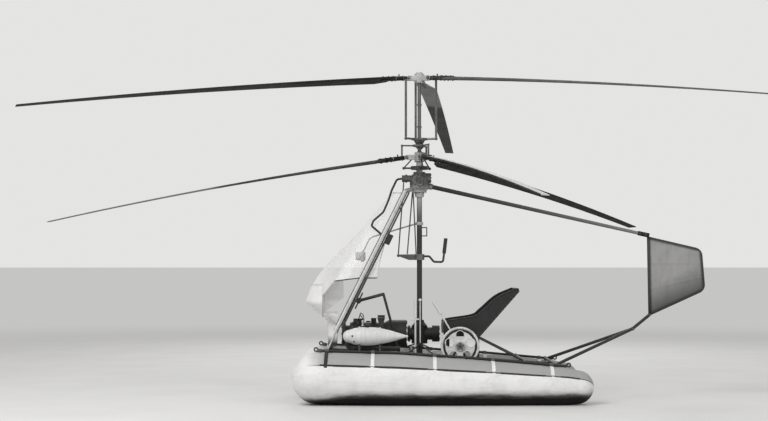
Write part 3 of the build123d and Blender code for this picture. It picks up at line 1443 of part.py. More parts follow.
LEVER_SIDE = -213
LEVER_EYE_RADIUS = 22
LEVER_EYE_HALF = 7
LEVER_TOP = (98, 752)  # aft of the mast, height
LEVER_RADIUS = 8
LEVER_GRIP = 110
LEVER_GRIP_RADIUS = 13
STAND_PLACE = -34
STAND_RADIUS = 7
STAND_TOP = 612
STAND_ARM = 28
PUMP_GRIP = (622, 757)
PUMP_GRIP_RADIUS = 12
KNOB_STICK_PLACE = 2
KNOB_STICK_RADIUS = 4
KNOB_STICK_TOP = 757
KNOB_BALL = 12

with BuildPart() as hand_levers:
    pivot = at(WHEEL_PLACE, LEVER_SIDE, WHEEL_HEIGHT)
    eye_reach = Vector(0, LEVER_EYE_HALF, 0)
    lever_top = at(LEVER_TOP[0], LEVER_SIDE, LEVER_TOP[1])
    lever_run = (lever_top - pivot).normalized()
    bar(pivot - eye_reach, pivot + eye_reach, LEVER_EYE_RADIUS)
    bar(pivot, lever_top, LEVER_RADIUS - 2)
    bar(lever_top - lever_run * LEVER_GRIP, lever_top, LEVER_GRIP_RADIUS)
    bar(pivot - eye_reach, pivot + eye_reach, AXLE_COLLAR + GAP, mode=Mode.SUBTRACT)
    stand_foot = at(STAND_PLACE, -KEEL_OFFSET, keel_height(STAND_PLACE))
    stand_top = at(STAND_PLACE, -KEEL_OFFSET, STAND_TOP)
    bar(stand_foot, stand_top, STAND_RADIUS)
    bar(stand_top - Vector(STAND_ARM, 0, 0), stand_top + Vector(STAND_ARM, 0, 0), STAND_RADIUS - 1)
    bar(
        at(STAND_PLACE, -KEEL_OFFSET, STAND_TOP),
        at(STAND_PLACE, -KEEL_OFFSET, PUMP_GRIP[1]),
        STAND_RADIUS - 2,
    )
    bar(
        at(STAND_PLACE, -KEEL_OFFSET, PUMP_GRIP[0]),
        at(STAND_PLACE, -KEEL_OFFSET, PUMP_GRIP[1]),
        PUMP_GRIP_RADIUS,
    )
    knob_foot = at(KNOB_STICK_PLACE, -KEEL_OFFSET, LOWER_GEARBOX_FOOT + PEDESTAL_LAP + GAP)
    knob_top = at(KNOB_STICK_PLACE, -KEEL_OFFSET, KNOB_STICK_TOP)
    bar(knob_foot, knob_top, KNOB_STICK_RADIUS)
    ball(knob_top, KNOB_BALL)
    clear_keel()
save(hand_levers, "hand_levers")

# Control rods: top and foot, aft of the mast, to starboard and up
END_TILT = 0.4  # how much the slanting ends of a rod reach past its centre line
CONTROL_RODS = (
    (
        (-120, 0, SELECTOR_HEIGHT - SELECTOR_RADIUS - GAP - END_TILT),
        (-161, 0, ball_middle.Z + PLATFORM_BALL + GAP + END_TILT),
    ),
    ((-53, 0, FLANGE_FOOT - GAP - END_TILT), (-93, 0, COLLAR_HIGH + GAP + END_TILT)),
    ((-48, -21, FLANGE_FOOT - GAP - END_TILT), (-26, -16, COLLAR_HIGH + GAP + END_TILT)),
)
CONTROL_ROD_RADIUS = 5

with BuildPart() as control_rods:
    for rod_top, rod_low in CONTROL_RODS:
        bar(at(*rod_top), at(*rod_low), CONTROL_ROD_RADIUS)
save(control_rods, "control_rods")
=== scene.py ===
"""A light open-frame helicopter on floats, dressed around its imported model.

Metres. +X points aft, +Y to starboard and +Z up. The photograph looks along +Y, nose to the left.
"""

import json
from math import acos, atan2, copysign, cos, exp, hypot, pi, radians, sin, tau

import bpy
import bmesh
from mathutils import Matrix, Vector, noise


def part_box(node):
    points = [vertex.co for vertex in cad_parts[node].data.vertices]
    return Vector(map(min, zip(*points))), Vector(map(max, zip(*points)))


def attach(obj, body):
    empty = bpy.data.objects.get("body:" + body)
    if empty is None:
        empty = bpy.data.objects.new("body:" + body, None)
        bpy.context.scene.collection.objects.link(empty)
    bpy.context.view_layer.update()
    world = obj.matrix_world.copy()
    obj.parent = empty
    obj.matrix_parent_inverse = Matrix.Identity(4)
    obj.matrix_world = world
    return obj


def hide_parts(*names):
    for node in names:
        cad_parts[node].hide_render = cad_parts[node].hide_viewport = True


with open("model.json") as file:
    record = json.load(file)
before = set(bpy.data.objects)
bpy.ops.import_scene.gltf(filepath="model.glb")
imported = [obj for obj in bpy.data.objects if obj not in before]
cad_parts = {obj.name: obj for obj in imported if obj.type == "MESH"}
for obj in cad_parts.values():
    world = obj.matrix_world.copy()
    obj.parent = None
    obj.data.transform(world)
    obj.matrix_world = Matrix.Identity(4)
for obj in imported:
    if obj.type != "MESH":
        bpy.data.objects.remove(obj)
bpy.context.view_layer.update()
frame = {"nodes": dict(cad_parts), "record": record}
scene = bpy.context.scene

MAST_X = 0.25  # the mast axis, aft of the origin
SIDES = (-1, 1)  # port and starboard


def at(aft, side, up):
    """The point this far aft of the mast axis, to starboard of it and above the floor."""
    return Vector((MAST_X + aft, side, up))


# Materials: small builders for node trees


def grey(tone):
    """A neutral colour, very slightly warm as on an old print."""
    return (tone, tone * 0.995, tone * 0.985, 1.0)


class Nodes:
    """The node tree of a material or a world, with short ways to add and join nodes."""

    def __init__(self, owner):
        owner.use_nodes = True
        self.owner = owner
        self.tree = owner.node_tree

    def put(self, socket, value):
        """Join a socket to an output, or set it to a constant."""
        if isinstance(value, bpy.types.NodeSocket):
            self.tree.links.new(value, socket)
        else:
            socket.default_value = value

    def add(self, kind, **values):
        """Add a node, with its properties and its inputs given by name."""
        node = self.tree.nodes.new(kind)
        for key, value in values.items():
            if hasattr(node, key):
                setattr(node, key, value)
            else:
                self.put(node.inputs[key.replace("_", " ")], value)
        return node

    def place(self, stretch=(1, 1, 1)):
        """Object coordinates, stretched."""
        own = self.add("ShaderNodeTexCoord").outputs["Object"]
        return self.add("ShaderNodeMapping", Vector=own, Scale=stretch).outputs["Vector"]

    def axes(self):
        """Object coordinates as three values: aft of the mast, to starboard, up."""
        own = self.add("ShaderNodeTexCoord").outputs["Object"]
        split = self.add("ShaderNodeSeparateXYZ", Vector=own)
        return self.math("SUBTRACT", split.outputs["X"], MAST_X), split.outputs["Y"], split.outputs["Z"]

    def math(self, operation, *items):
        """A math node on values or outputs."""
        node = self.add("ShaderNodeMath", operation=operation)
        for socket, item in zip(node.inputs, items):
            self.put(socket, item)
        return node.outputs[0]

    def line(self, value, slope, start):
        """A value on a straight line."""
        return self.math("MULTIPLY_ADD", value, slope, start)

    def away(self, value, target):
        """How far a value is from a target."""
        return self.math("ABSOLUTE", self.math("SUBTRACT", value, target))

    def near(self, value, target, reach):
        """1 where a value lies within reach of a target, else 0."""
        return self.math("LESS_THAN", self.away(value, target), reach)

    def length(self, first, second):
        """Length of a step by two values at right angles."""
        squares = (self.math("POWER", item, 2.0) for item in (first, second))
        return self.math("SQRT", self.math("ADD", *squares))

    def beside(self, first, second):
        """Distance from the line through two places in the side view."""
        aft, _, up = self.axes()
        run = second[0] - first[0]
        rise = second[1] - first[1]
        length = hypot(run, rise)
        level = self.line(aft, rise / length, (first[1] * run - first[0] * rise) / length)
        return self.line(up, -run / length, level)

    def fade(self, value, start, end):
        """A smooth rise from 0 at the start to 1 at the end."""
        node = self.add("ShaderNodeMapRange", interpolation_type="SMOOTHSTEP", Value=value)
        node.inputs["From Min"].default_value = start
        node.inputs["From Max"].default_value = end
        return node.outputs["Result"]

    def noise(self, scale, detail=4.0, roughness=0.5, stretch=(1, 1, 1)):
        """Noise between 0 and 1 in object coordinates."""
        node = self.add("ShaderNodeTexNoise", Vector=self.place(stretch), Scale=scale, Detail=detail)
        node.inputs["Roughness"].default_value = roughness
        return node.outputs["Fac"]

    def ramp(self, value, *stops):
        """Map a value through stops given as (position, tone)."""
        node = self.add("ShaderNodeValToRGB", Fac=value)
        elements = node.color_ramp.elements
        while len(elements) < len(stops):
            elements.new(0.5)
        for element, (position, tone) in zip(elements, stops):
            element.position = position
            element.color = grey(tone)
        return node.outputs["Color"]

    def spots(self, low, high, *pattern):
        """Noise mapped from a low to a high stop."""
        return self.ramp(self.noise(*pattern), low, high)

    def mix(self, factor, first, second):
        """Blend two colours or tones by a factor."""
        node = self.add("ShaderNodeMix", data_type="RGBA")
        self.put(node.inputs[0], factor)
        for socket, item in ((node.inputs[6], first), (node.inputs[7], second)):
            self.put(socket, grey(item) if isinstance(item, float) else item)
        return node.outputs[2]

    def waves(self, way, scale, distortion):
        """Bands between 0 and 1 in object coordinates."""
        node = self.add("ShaderNodeTexWave", bands_direction=way, Vector=self.place(), Scale=scale)
        node.inputs["Distortion"].default_value = distortion
        return node.outputs["Fac"]

    def bump(self, height, strength, distance):
        """A normal that is bumped by a height."""
        node = self.add("ShaderNodeBump", Height=height, Strength=strength, Distance=distance)
        return node.outputs["Normal"]

    def weave(self, scale, strength):
        """A normal that shows a plain weave of two crossed waves."""
        heights = []
        for way in ("X", "Z"):
            heights.append(self.waves(way, scale, 0.4))
        return self.bump(self.math("MULTIPLY", *heights), strength, 0.0005)

    def grained(self, scale, strength, distance=0.0006):
        """A normal that shows a fine grain."""
        return self.bump(self.noise(scale, 3.0), strength, distance)

    def made(self, colour, roughness, specular=0.5, **others):
        """The material, once its shader has its colour, roughness, gloss and other inputs."""
        values = {"Base Color": colour, "Roughness": roughness, "Specular IOR Level": specular, **others}
        for name, value in values.items():
            self.put(self.tree.nodes["Principled BSDF"].inputs[name], value)
        return self.owner

    def blended(self, factor, first, second, end):
        """Join two shaders, blended by a factor, to the tree's end."""
        node = self.add("ShaderNodeMixShader")
        for socket, item in zip(node.inputs, (factor, first.outputs[0], second.outputs[0])):
            self.put(socket, item)
        self.put(self.tree.nodes[end].inputs["Surface"], node.outputs[0])


def nodes_of(name):
    """The node tree of a new material."""
    return Nodes(bpy.data.materials.new(name))


def metal_paint(name, tone, spread, roughness, metallic, grain, dirt):
    """Painted or bare metal: uneven tone, dull patches, fine bump and grime."""
    m = nodes_of(name)
    base = m.spots((0.3, tone * (1 - spread)), (0.7, tone * (1 + spread * 0.6)), 5.0, 5.0, 0.6)
    grime = m.spots((0.45, 0.0), (0.75, dirt), 3.0, 6.0, 0.7, (14, 14, 2.5))
    worn = m.spots((0.66, 0.0), (0.7, 0.5), 38.0, 8.0, 0.75)
    colour = m.mix(worn, m.mix(grime, base, tone * 0.35), min(1.0, tone * 1.5 + 0.05))
    dull = m.spots((0.3, roughness - 0.08), (0.7, roughness + 0.15), grain, 3.0)
    return m.made(colour, dull, 0.25, Metallic=metallic, Normal=m.grained(grain, 0.25))


def leather(name, tone):
    """Worn leather: a fine cell grain, scuffed paler on the high places."""
    m = nodes_of(name)
    cells = m.add("ShaderNodeTexVoronoi", feature="DISTANCE_TO_EDGE", Vector=m.place(), Scale=420.0)
    grain = m.ramp(cells.outputs["Distance"], (0.0, 0.0), (0.12, 1.0))
    scuff = m.spots((0.5, 0.0), (0.75, 0.5), 22.0, 7.0, 0.7)
    dull = m.spots((0.3, 0.42), (0.7, 0.62), 30.0)
    return m.made(m.mix(scuff, tone, tone * 3.0), dull, Normal=m.bump(grain, 0.35, 0.0006))


def twisted(name, tone):
    """Laid rope or cord: slanting strands."""
    m = nodes_of(name)
    strands = m.waves("DIAGONAL", 90.0, 1.0)
    colour = m.ramp(strands, (0.1, tone * 0.5), (0.8, tone * 1.2))
    return m.made(colour, 0.9, Normal=m.bump(strands, 0.6, 0.001))


# Forms: rings of points skinned into closed meshes


def aimed(direction):
    """A turn that lays the Z axis along a direction."""
    return Vector(direction).to_track_quat("Z", "Y").to_matrix()


def circle(count):
    """Angles spread evenly round a circle."""
    return [tau * step / count for step in range(count)]


def spoke(radius, angle, along=0.0):
    """A point at a radius and an angle about the Z axis, and along it."""
    return Vector((radius * cos(angle), radius * sin(angle), along))


def upright(angle):
    """A direction in the side view, at an angle from aft towards up."""
    return Vector((cos(angle), 0, sin(angle)))


def outward(degrees, side=1):
    """A direction seen from the front, at an angle from one side towards up."""
    turn = radians(degrees)
    return Vector((0, side * cos(turn), sin(turn)))


def beyond(points, index):
    """The step from the point before one of a row of points to the point after it."""
    return points[min(index + 1, len(points) - 1)] - points[max(index - 1, 0)]


class Shape:
    """A mesh that grows by skinned, turned and swept forms."""

    def __init__(self):
        self.points = []
        self.faces = []

    def skin(self, rings, closed=True):
        """Skin a row of rings of points, each with as many points. Closed ones get end caps."""
        start = len(self.points)
        count = len(rings[0])
        for ring in rings:
            self.points.extend(ring)
        for row in range(len(rings) - 1):
            for column in range(count if closed else count - 1):
                here = start + row * count + column
                beside = start + row * count + (column + 1) % count
                self.faces.append((here, beside, beside + count, here + count))
        if closed:
            last = start + (len(rings) - 1) * count
            self.faces.append(tuple(range(start + count - 1, start - 1, -1)))
            self.faces.append(tuple(range(last, last + count)))

    def turned(self, place, direction, profile, steps=24):
        """Turn a profile of (along, radius) pairs about a direction."""
        turn = aimed(direction)
        rings = []
        for along, radius in profile:
            rings.append([place + turn @ spoke(radius, angle, along) for angle in circle(steps)])
        self.skin(rings)

    def tube(self, points, radius, steps=8):
        """Sweep a round section along points."""
        rings = []
        across = None
        for index, point in enumerate(points):
            along = beyond(points, index).normalized()
            if across is None:
                across = along.orthogonal()
            across = (across - along * across.dot(along)).normalized()
            other = along.cross(across)
            rings.append([point + (across * cos(a) + other * sin(a)) * radius for a in circle(steps)])
        self.skin(rings)

    def band(self, points, outs, half_width, lift, thickness):
        """Lay a flat band with softened edges along points, on the side that the outs point to."""
        rings = []
        for index, (point, out) in enumerate(zip(points, outs)):
            across = beyond(points, index).normalized().cross(out).normalized()
            ring = []
            for wide, high in ((-1, 0), (-1, 0.6), (-0.85, 1), (0.85, 1), (1, 0.6), (1, 0)):
                ring.append(point + across * (wide * half_width) + out * (lift + thickness * high))
            rings.append(ring)
        self.skin(rings)

    def wound(self, middle, along, radius, turns, pitch, thick):
        """Wind a cord round an axis."""
        turn = aimed(along)
        points = []
        for step in range(turns * 16 + 1):
            run = pitch * (step / 16 - turns / 2)
            points.append(middle + turn @ spoke(radius, tau * step / 16, run))
        self.tube(points, thick)

    def bolt(self, place, direction, across, head=None):
        """A washer and a six-sided head that stands on a face."""
        head = head or across * 0.6
        wide = across * 0.577
        self.turned(place, direction, ((0, across * 0.72), (across * 0.12, across * 0.72)), 16)
        self.turned(place, direction, ((across * 0.1, wide), (head * 0.8, wide), (head, wide * 0.82)), 6)

    def bolt_ring(self, middle, direction, radius, count, across, start=0.0):
        """Bolts in a circle round a direction."""
        turn = aimed(direction)
        for angle in circle(count):
            self.bolt(middle + turn @ spoke(radius, start + angle), direction, across)


RIVET = ((0, 0.0032), (0.0008, 0.0032), (0.0018, 0.0022), (0.0022, 0.0006))


def smooth_path(*corners, count=8):
    """Points along a soft curve through corners."""
    ends = [corners[0] * 2 - corners[1], *corners, corners[-1] * 2 - corners[-2]]
    points = []
    for one, two, three, four in zip(ends, ends[1:], ends[2:], ends[3:]):
        for step in range(count):
            t = step / count
            square = (2 * one - 5 * two + 4 * three - four) * t**2
            cube = (3 * two - one - 3 * three + four) * t**3
            points.append(0.5 * (2 * two + (three - one) * t + square + cube))
    return [*points, corners[-1]]


def placed(name, data):
    """A new object in the scene."""
    made = bpy.data.objects.new(name, data)
    scene.collection.objects.link(made)
    return made


def piece(name, shape, slot, material=None, body="airframe", replaces=None, sharp=35):
    """Make a shape into a piece that rides on a body, in its slot's material unless another is named."""
    mesh = bpy.data.meshes.new(name)
    mesh.from_pydata(shape.points, [], shape.faces)
    filled = bmesh.new()
    filled.from_mesh(mesh)
    bmesh.ops.recalc_face_normals(filled, faces=filled.faces)
    filled.to_mesh(mesh)
    filled.free()
    mesh.shade_smooth()
    mesh.set_sharp_from_angle(angle=radians(sharp))
    mesh.materials.append(MATERIALS[material or slot])
    made = placed(name, mesh)
    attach(made, body)
    if replaces:
        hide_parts(replaces)


def sheets(name, grids, slot, material, replaces=None):
    """Make open sheets of rows of points into a piece."""
    shape = Shape()
    for grid in grids:
        shape.skin(grid, closed=False)
    piece(name, shape, slot, material, replaces=replaces, sharp=80)


def between(rows, place):
    """Values of a table's rows at a place, on straight lines from row to row."""
    for low, high in zip(rows, rows[1:]):
        if place <= high[0]:
            break
    share = (place - low[0]) / (high[0] - low[0])
    return [start + (end - start) * share for start, end in zip(low[1:], high[1:])]


def eased(rows, place, window):
    """The same values, rounded over a window."""
    samples = [between(rows, place + window * (2 * step / 8 - 1)) for step in range(9)]
    return [sum(column) / 9 for column in zip(*samples)]


def limited(value):
    """A value kept between 0 and 1."""
    return min(1.0, max(0.0, value))


def ease(value):
    """A smooth step from 0 to 1."""
    value = limited(value)
    return value * value * (3 - 2 * value)


# Floats: the same stations as the solids, aft of the mast and radius

FLOAT_OFFSET = 0.45
FLOAT_STATIONS = ((-0.76, 0.1875), (-0.18, 0.1915), (0.5, 0.168), (1.06, 0.137), (1.141, 0.122))
KEEL_LIFT = 0.005
STRAP_PLACES = (-0.697, -0.359, 0.094, 0.521, 0.951)  # the first strap is dark, the others are white
STRAP_HALF = 0.013
BATTEN_ANGLE = 34.0
BATTENS = (BATTEN_ANGLE, 180 - BATTEN_ANGLE)
RAIL_LIFT = 0.0146
RAIL_RADIUS = 0.01
FLOOR_GAP = 0.0005  # the fabric rests flat at this height
# How far the fabric stands out of the plain form or sinks into it
TOP_SWELL = 0.003
SIDE_SWELL = 0.0022
STRAP_PUCKER = 0.0012
STRAP_PULL = 0.0018
GORE_DEPTH = 0.0022
RIPPLE = 0.0016
FLOAT_FORE, FLOAT_FORE_RADIUS = FLOAT_STATIONS[0]
FLOAT_AFT, FLOAT_AFT_RADIUS = FLOAT_STATIONS[-1]
FLOAT_ALONG = Vector((FLOAT_AFT - FLOAT_FORE, 0, FLOAT_AFT_RADIUS - FLOAT_FORE_RADIUS)).normalized()
FLOAT_UP = Vector((-FLOAT_ALONG.z, 0, FLOAT_ALONG.x))


def float_out(angle):
    """The direction out of a float at an angle above the horizontal."""
    turn = radians(angle)
    return Vector((0, -cos(turn), 0)) + FLOAT_UP * sin(turn)


def float_point(side, aft, angle, lift=0.0, cap=0.0):
    """A point of a float's skin: place along it, angle above the horizontal, lift, turn over its end."""
    origin = at(FLOAT_FORE, side * FLOAT_OFFSET, FLOAT_FORE_RADIUS + KEEL_LIFT)
    radius = eased(FLOAT_STATIONS, aft, 0.02)[0] + lift
    end = -1 if aft < 0 else 1
    middle = origin + FLOAT_ALONG * (aft - FLOAT_FORE + end * radius * sin(cap))
    point = middle + float_out(angle) * (radius * cos(cap))
    point.z = max(point.z, FLOOR_GAP)
    return point


def fabric_lift(side, aft, angle, cap):
    """How far the inflated fabric stands out of the plain form, or sinks in at straps and seams."""
    strap_gap, strap = min((abs(aft - place), place) for place in STRAP_PLACES)
    above = ease((angle - 36) / 8) * ease((144 - angle) / 8)
    beside = 1 - ease((strap_gap - STRAP_HALF) / 0.07)
    lift = TOP_SWELL * above * (1 - beside)
    puckers = cos(radians(angle * 360 / 9))
    lift += STRAP_PUCKER * above * beside * (1 - ease((STRAP_HALF + 0.004 - strap_gap) / 0.004)) * puckers
    for batten in BATTENS:
        drop = radians(angle - batten) * FLOAT_FORE_RADIUS
        below = drop if batten < 90 else -drop
        if below < -0.012:
            reach = hypot(aft - strap, below)
            turn = atan2(below, aft - strap)
            lift += STRAP_PULL * exp(-(((reach - 0.06) / 0.05) ** 2)) * cos(11 * turn)
    lift += SIDE_SWELL * (cos(radians(angle)) ** 2 * (1 - above))
    gore = abs((angle + 15) % 30 - 15) / 30
    lift -= GORE_DEPTH * ease(cap * 1.2) * exp(-((gore / 0.035) ** 2))
    spot = Vector((aft * 5 + side * 3, cos(radians(angle)) * 1.2, sin(radians(angle)) * 1.2))
    return lift + RIPPLE * noise.noise(spot) * (1 - above)


def skin_point(side, aft, angle, cap=0.0, lift=0.0):
    """A point on a float's inflated fabric, or a little above it."""
    return float_point(side, aft, angle, fabric_lift(side, aft, angle, cap) + lift, cap)


def float_cloth():
    """Float fabric: pale sides, a greyer top above the battens and a dark underside that is painted shade."""
    m = nodes_of("float_cloth")
    aft, side, up = m.axes()
    slope = (FLOAT_FORE_RADIUS - FLOAT_AFT_RADIUS) / (FLOAT_AFT - FLOAT_FORE)
    axis_height = m.line(aft, -slope, FLOAT_FORE_RADIUS + KEEL_LIFT + FLOAT_FORE * slope)
    rise = m.math("SUBTRACT", up, axis_height)
    out = m.away(m.math("ABSOLUTE", side), FLOAT_OFFSET)
    angle = m.math("DIVIDE", m.math("ARCTAN2", rise, out), radians(90))
    behind_nose = m.ramp(m.line(aft, 1.0, 0.9), (0.06, 0.0), (0.2, 1.0))
    above = m.math("MULTIPLY", m.ramp(angle, (0.36, 0.0), (0.385, 1.0)), behind_nose)
    blotch = m.spots((0.45, 0.0), (0.8, 0.28), 9.0, 6.0, 0.7)
    smear = m.spots((0.55, 0.0), (0.85, 0.3), 2.0, 6.0, 0.7, (1.2, 5, 14))
    dry = m.mix(smear, m.mix(blotch, m.mix(above, 0.72, 0.34), 0.25), 0.3)
    batten = m.math("MULTIPLY", m.near(angle, 0.37, 0.02), behind_nose)
    dry = m.mix(m.math("MULTIPLY", batten, 0.92), dry, 0.012)
    # Painted shade: the underside turns nearly black towards the floor, less so near the nose.
    height = m.math("ADD", up, m.line(m.noise(3.0, 5.0, 0.65, (2, 6, 6)), 0.05, -0.025))
    lift = m.ramp(m.math("ADD", aft, 1.0), (0.05, 0.15), (0.5, 0.0))
    low = m.math("ADD", m.math("DIVIDE", height, 0.4), lift)
    painted_underside_shade = m.ramp(low, (0.14, 1.0), (0.19, 0.9), (0.25, 0.25), (0.31, 0.0))
    return m.made(m.mix(painted_underside_shade, dry, 0.006), 0.62, 0.12, Normal=m.weave(260.0, 0.25))


def harness_webbing():
    """White straps, with a dark one at the nose and dark battens along the float."""
    m = nodes_of("harness_webbing")
    aft, _, _ = m.axes()
    white = 0.0
    for strap in STRAP_PLACES[1:]:
        white = m.math("MAXIMUM", white, m.near(aft, strap, STRAP_HALF + 0.006))
    worn = m.spots((0.3, 0.62), (0.7, 0.82), 24.0, 6.0, 0.7)
    return m.made(m.mix(white, 0.02, worn), 0.85, Normal=m.weave(320.0, 0.4))


# Blades: half the chord of a lower one, how far its middle is off the axis, and how both taper
ROTOR_RADIUS = 3.05
BLADE_ROOT = 0.335
BLADE_HALF = 0.075
BLADE_HALF_TIP = 0.04
BLADE_SHIFT = 0.033
BLADE_SHIFT_TIP = 0.018
BLADE_HALF_TAPER = (BLADE_HALF - BLADE_HALF_TIP) / (ROTOR_RADIUS - BLADE_ROOT)
BLADE_SHIFT_TAPER = (BLADE_SHIFT - BLADE_SHIFT_TIP) / (ROTOR_RADIUS - BLADE_ROOT)
# The edges of a blade get painted shade this wide.
BLADE_SHADED_EDGE = 0.015  # width of the dark edges


def blade_light_and_shade(name, inner, outer, boundary, azimuth):
    """A blade in two tones of painted light and shade that change at a distance from the mast. Given its
    azimuth, its edges get painted shade.
    """
    m = nodes_of(name)
    aft, side, _ = m.axes()
    reach = m.length(aft, side)
    tones = [m.spots((0.3, tone * 0.85), (0.7, tone * 1.15), 4.0, 5.0, 0.6) for tone in (inner, outer)]
    # Painted shade along the edges of the blade with a given azimuth.
    if azimuth is not None:
        turn = radians(azimuth)
        across = m.math("ADD", m.line(aft, -sin(turn), 0.0), m.line(side, cos(turn), 0.0))
        span = m.math("SUBTRACT", reach, BLADE_ROOT)
        middle = m.line(span, -BLADE_SHIFT_TAPER, BLADE_SHIFT)
        half = m.line(span, -BLADE_HALF_TAPER, BLADE_HALF - BLADE_SHADED_EDGE)
        tones[1] = m.mix(m.math("GREATER_THAN", m.away(across, middle), half), tones[1], 0.012)
    # Painted light and shade: the inner tone turns into the outer one past the boundary.
    step = m.ramp(m.math("SUBTRACT", reach, boundary), (0.0, 0.0), (0.12, 1.0))
    dull = m.spots((0.3, 0.55), (0.7, 0.75), 12.0, 4.0)
    return m.made(m.mix(step, *tones), dull, 0.08, Normal=m.grained(60.0, 0.15))


# Side views of the fin, the struts and the hand wheel: aft of the mast, height
FIN_CORNERS = ((1.75, 1.232), (2.152, 1.138), (2.175, 0.834), (1.757, 0.644))
STRUT_TOP = (-0.107, 1.588)
STRUT_FOOT = (-0.612, 0.569)
WHEEL_PLACE = (0.297, 0.416)


def fin_cloth():
    """Doped cloth of the fin, dark along its edges and towards its lower edge."""
    m = nodes_of("fin_cloth")
    stain = m.spots((0.45, 0.0), (0.85, 0.5), 6.0, 7.0, 0.7, (4, 4, 1.2))
    tone = m.mix(stain, m.spots((0.3, 0.25), (0.7, 0.33), 3.0, 6.0, 0.6), 0.15)
    for corner, following in zip(FIN_CORNERS, FIN_CORNERS[1:] + FIN_CORNERS[:1]):
        inward = m.beside(corner, following)
        tone = m.mix(m.ramp(inward, (0.006, 0.85), (0.024, 0.0)), tone, 0.012)
        if corner == FIN_CORNERS[2]:
            tone = m.mix(m.ramp(inward, (0.02, 0.75), (0.2, 0.0)), tone, 0.03)
    return m.made(tone, 0.85, 0.15, Normal=m.weave(220.0, 0.3))


def boom_paint():
    """Boom paint, dark at the mast and paler towards the fin."""
    m = nodes_of("boom_paint")
    worn = m.spots((0.3, -0.08), (0.7, 0.08), 5.0, 6.0, 0.7, (2, 20, 20))
    along = m.line(m.axes()[0], 0.5, worn)
    colour = m.ramp(along, (0.1, 0.022), (0.5, 0.06), (0.9, 0.17))
    return m.made(colour, 0.5, 0.25, Normal=m.grained(90.0, 0.25))


def strut_paint_and_shade():
    """Front struts: pale paint with painted shade along their edges and a painted shadow line in the gap
    between their tubes, seen from the side.
    """
    m = nodes_of("strut_paint_and_shade")
    place = m.line(m.beside(STRUT_FOOT, STRUT_TOP), 20.0, 0.5)
    # Across the strut: painted shade at both edges, pale paint, and a painted shadow line near the middle.
    edge = ((0.12, 0.03), (0.19, 0.06), (0.25, 0.5), (0.48, 0.58))
    tone = m.ramp(place, *edge, (0.54, 0.16), (0.6, 0.46), (0.72, 0.4), (0.8, 0.04))
    worn = m.spots((0.5, 0.0), (0.8, 0.7), 3.0, 6.0, 0.7, (20, 20, 4))
    return m.made(m.mix(worn, tone, 0.12), 0.5, 0.25, Normal=m.grained(90.0, 0.25))


def two_tone_paint(name, stops, patches):
    """Metal whose tone follows half the height in metres, with paler patches here and there, which are
    painted highlights.
    """
    m = nodes_of(name)
    height = m.math("MULTIPLY", m.axes()[2], 0.5)
    tone = m.ramp(m.math("ADD", height, m.line(m.noise(9.0, 5.0, 0.6), 0.01, -0.005)), *stops)
    # Paler patches: painted highlights.
    tone = m.mix(m.spots((0.52, 0.0), (0.6, patches), 16.0, 6.0, 0.6), tone, 0.6)
    grime = m.spots((0.5, 0.0), (0.8, 0.5), 3.0, 6.0, 0.7, (14, 14, 2.5))
    dull = m.spots((0.3, 0.38), (0.7, 0.6), 120.0, 3.0)
    return m.made(m.mix(grime, tone, 0.02), dull, 0.3, Metallic=0.15, Normal=m.grained(120.0, 0.3))


def wheel_paint_and_shade():
    """White wheel with a dark ring inside the rim, painted shade where the gap between rim and plate lies,
    and a greyer hub.
    """
    m = nodes_of("wheel_paint_and_shade")
    aft, _, up = m.axes()
    reach = m.length(m.math("SUBTRACT", aft, WHEEL_PLACE[0]), m.math("SUBTRACT", up, WHEEL_PLACE[1]))
    worn = m.spots((0.35, 0.42), (0.65, 0.66), 18.0, 6.0, 0.7)
    tone = m.mix(m.ramp(m.math("MULTIPLY", reach, 5.0), (0.1, 1.0), (0.2, 0.0)), worn, 0.12)
    # Painted shade: a dark ring standing in for the gap between the rim and the plate.
    colour = m.mix(m.near(reach, 0.1185, 0.0085), tone, 0.015)
    return m.made(colour, 0.5, 0.2, Normal=m.grained(90.0, 0.2, 0.0005))


def screen_sheet():
    """Clear sheet with a milky bloom, denser where it is seen edge on and low on the nose."""
    m = nodes_of("screen_sheet")
    haze = m.noise(3.0, 6.0, 0.6, (3, 3, 1))
    rim = m.math("POWER", m.add("ShaderNodeLayerWeight", Blend=0.55).outputs["Facing"], 1.6)
    bloom = m.line(m.fade(m.axes()[2], 1.25, 0.8), 0.34, 0.1)
    alpha = m.math("ADD", bloom, m.math("MULTIPLY", rim, 0.55))
    alpha = m.math("MINIMUM", m.math("ADD", alpha, m.line(haze, 0.16, -0.08)), 0.95)
    scratch = m.spots((0.4, 0.1), (0.8, 0.3), 3.0, 6.0, 0.8, (40, 40, 4))
    return m.made(m.ramp(haze, (0.3, 0.8), (0.7, 0.92)), scratch, Alpha=alpha)


def cap_paint_and_shade():
    """The cap under the windscreen: the same sheet, painted thinly from behind. Low down it turns dark, which
    is painted shade.
    """
    m = nodes_of("cap_paint_and_shade")
    haze = m.noise(5.0, 6.0, 0.6)
    pale = m.ramp(haze, (0.3, 0.74), (0.7, 0.86))
    # Painted shade: dark below about 0.43 to 0.49 m, on the low part of the skirt.
    colour = m.mix(m.ramp(m.axes()[2], (0.43, 1.0), (0.49, 0.0)), pale, 0.03)
    alpha = m.ramp(haze, (0.3, 0.8), (0.7, 0.92))
    return m.made(colour, 0.25, Alpha=alpha, Normal=m.bump(m.noise(30.0), 0.08, 0.0005))


def clear_glass():
    """Thin dial glass."""
    m = nodes_of("dial_glass")
    smudge = m.noise(60.0, 5.0)
    alpha = m.ramp(smudge, (0.3, 0.08), (0.7, 0.18))
    return m.made(m.ramp(smudge, (0.3, 0.85), (0.7, 0.95)), 0.05, Alpha=alpha)


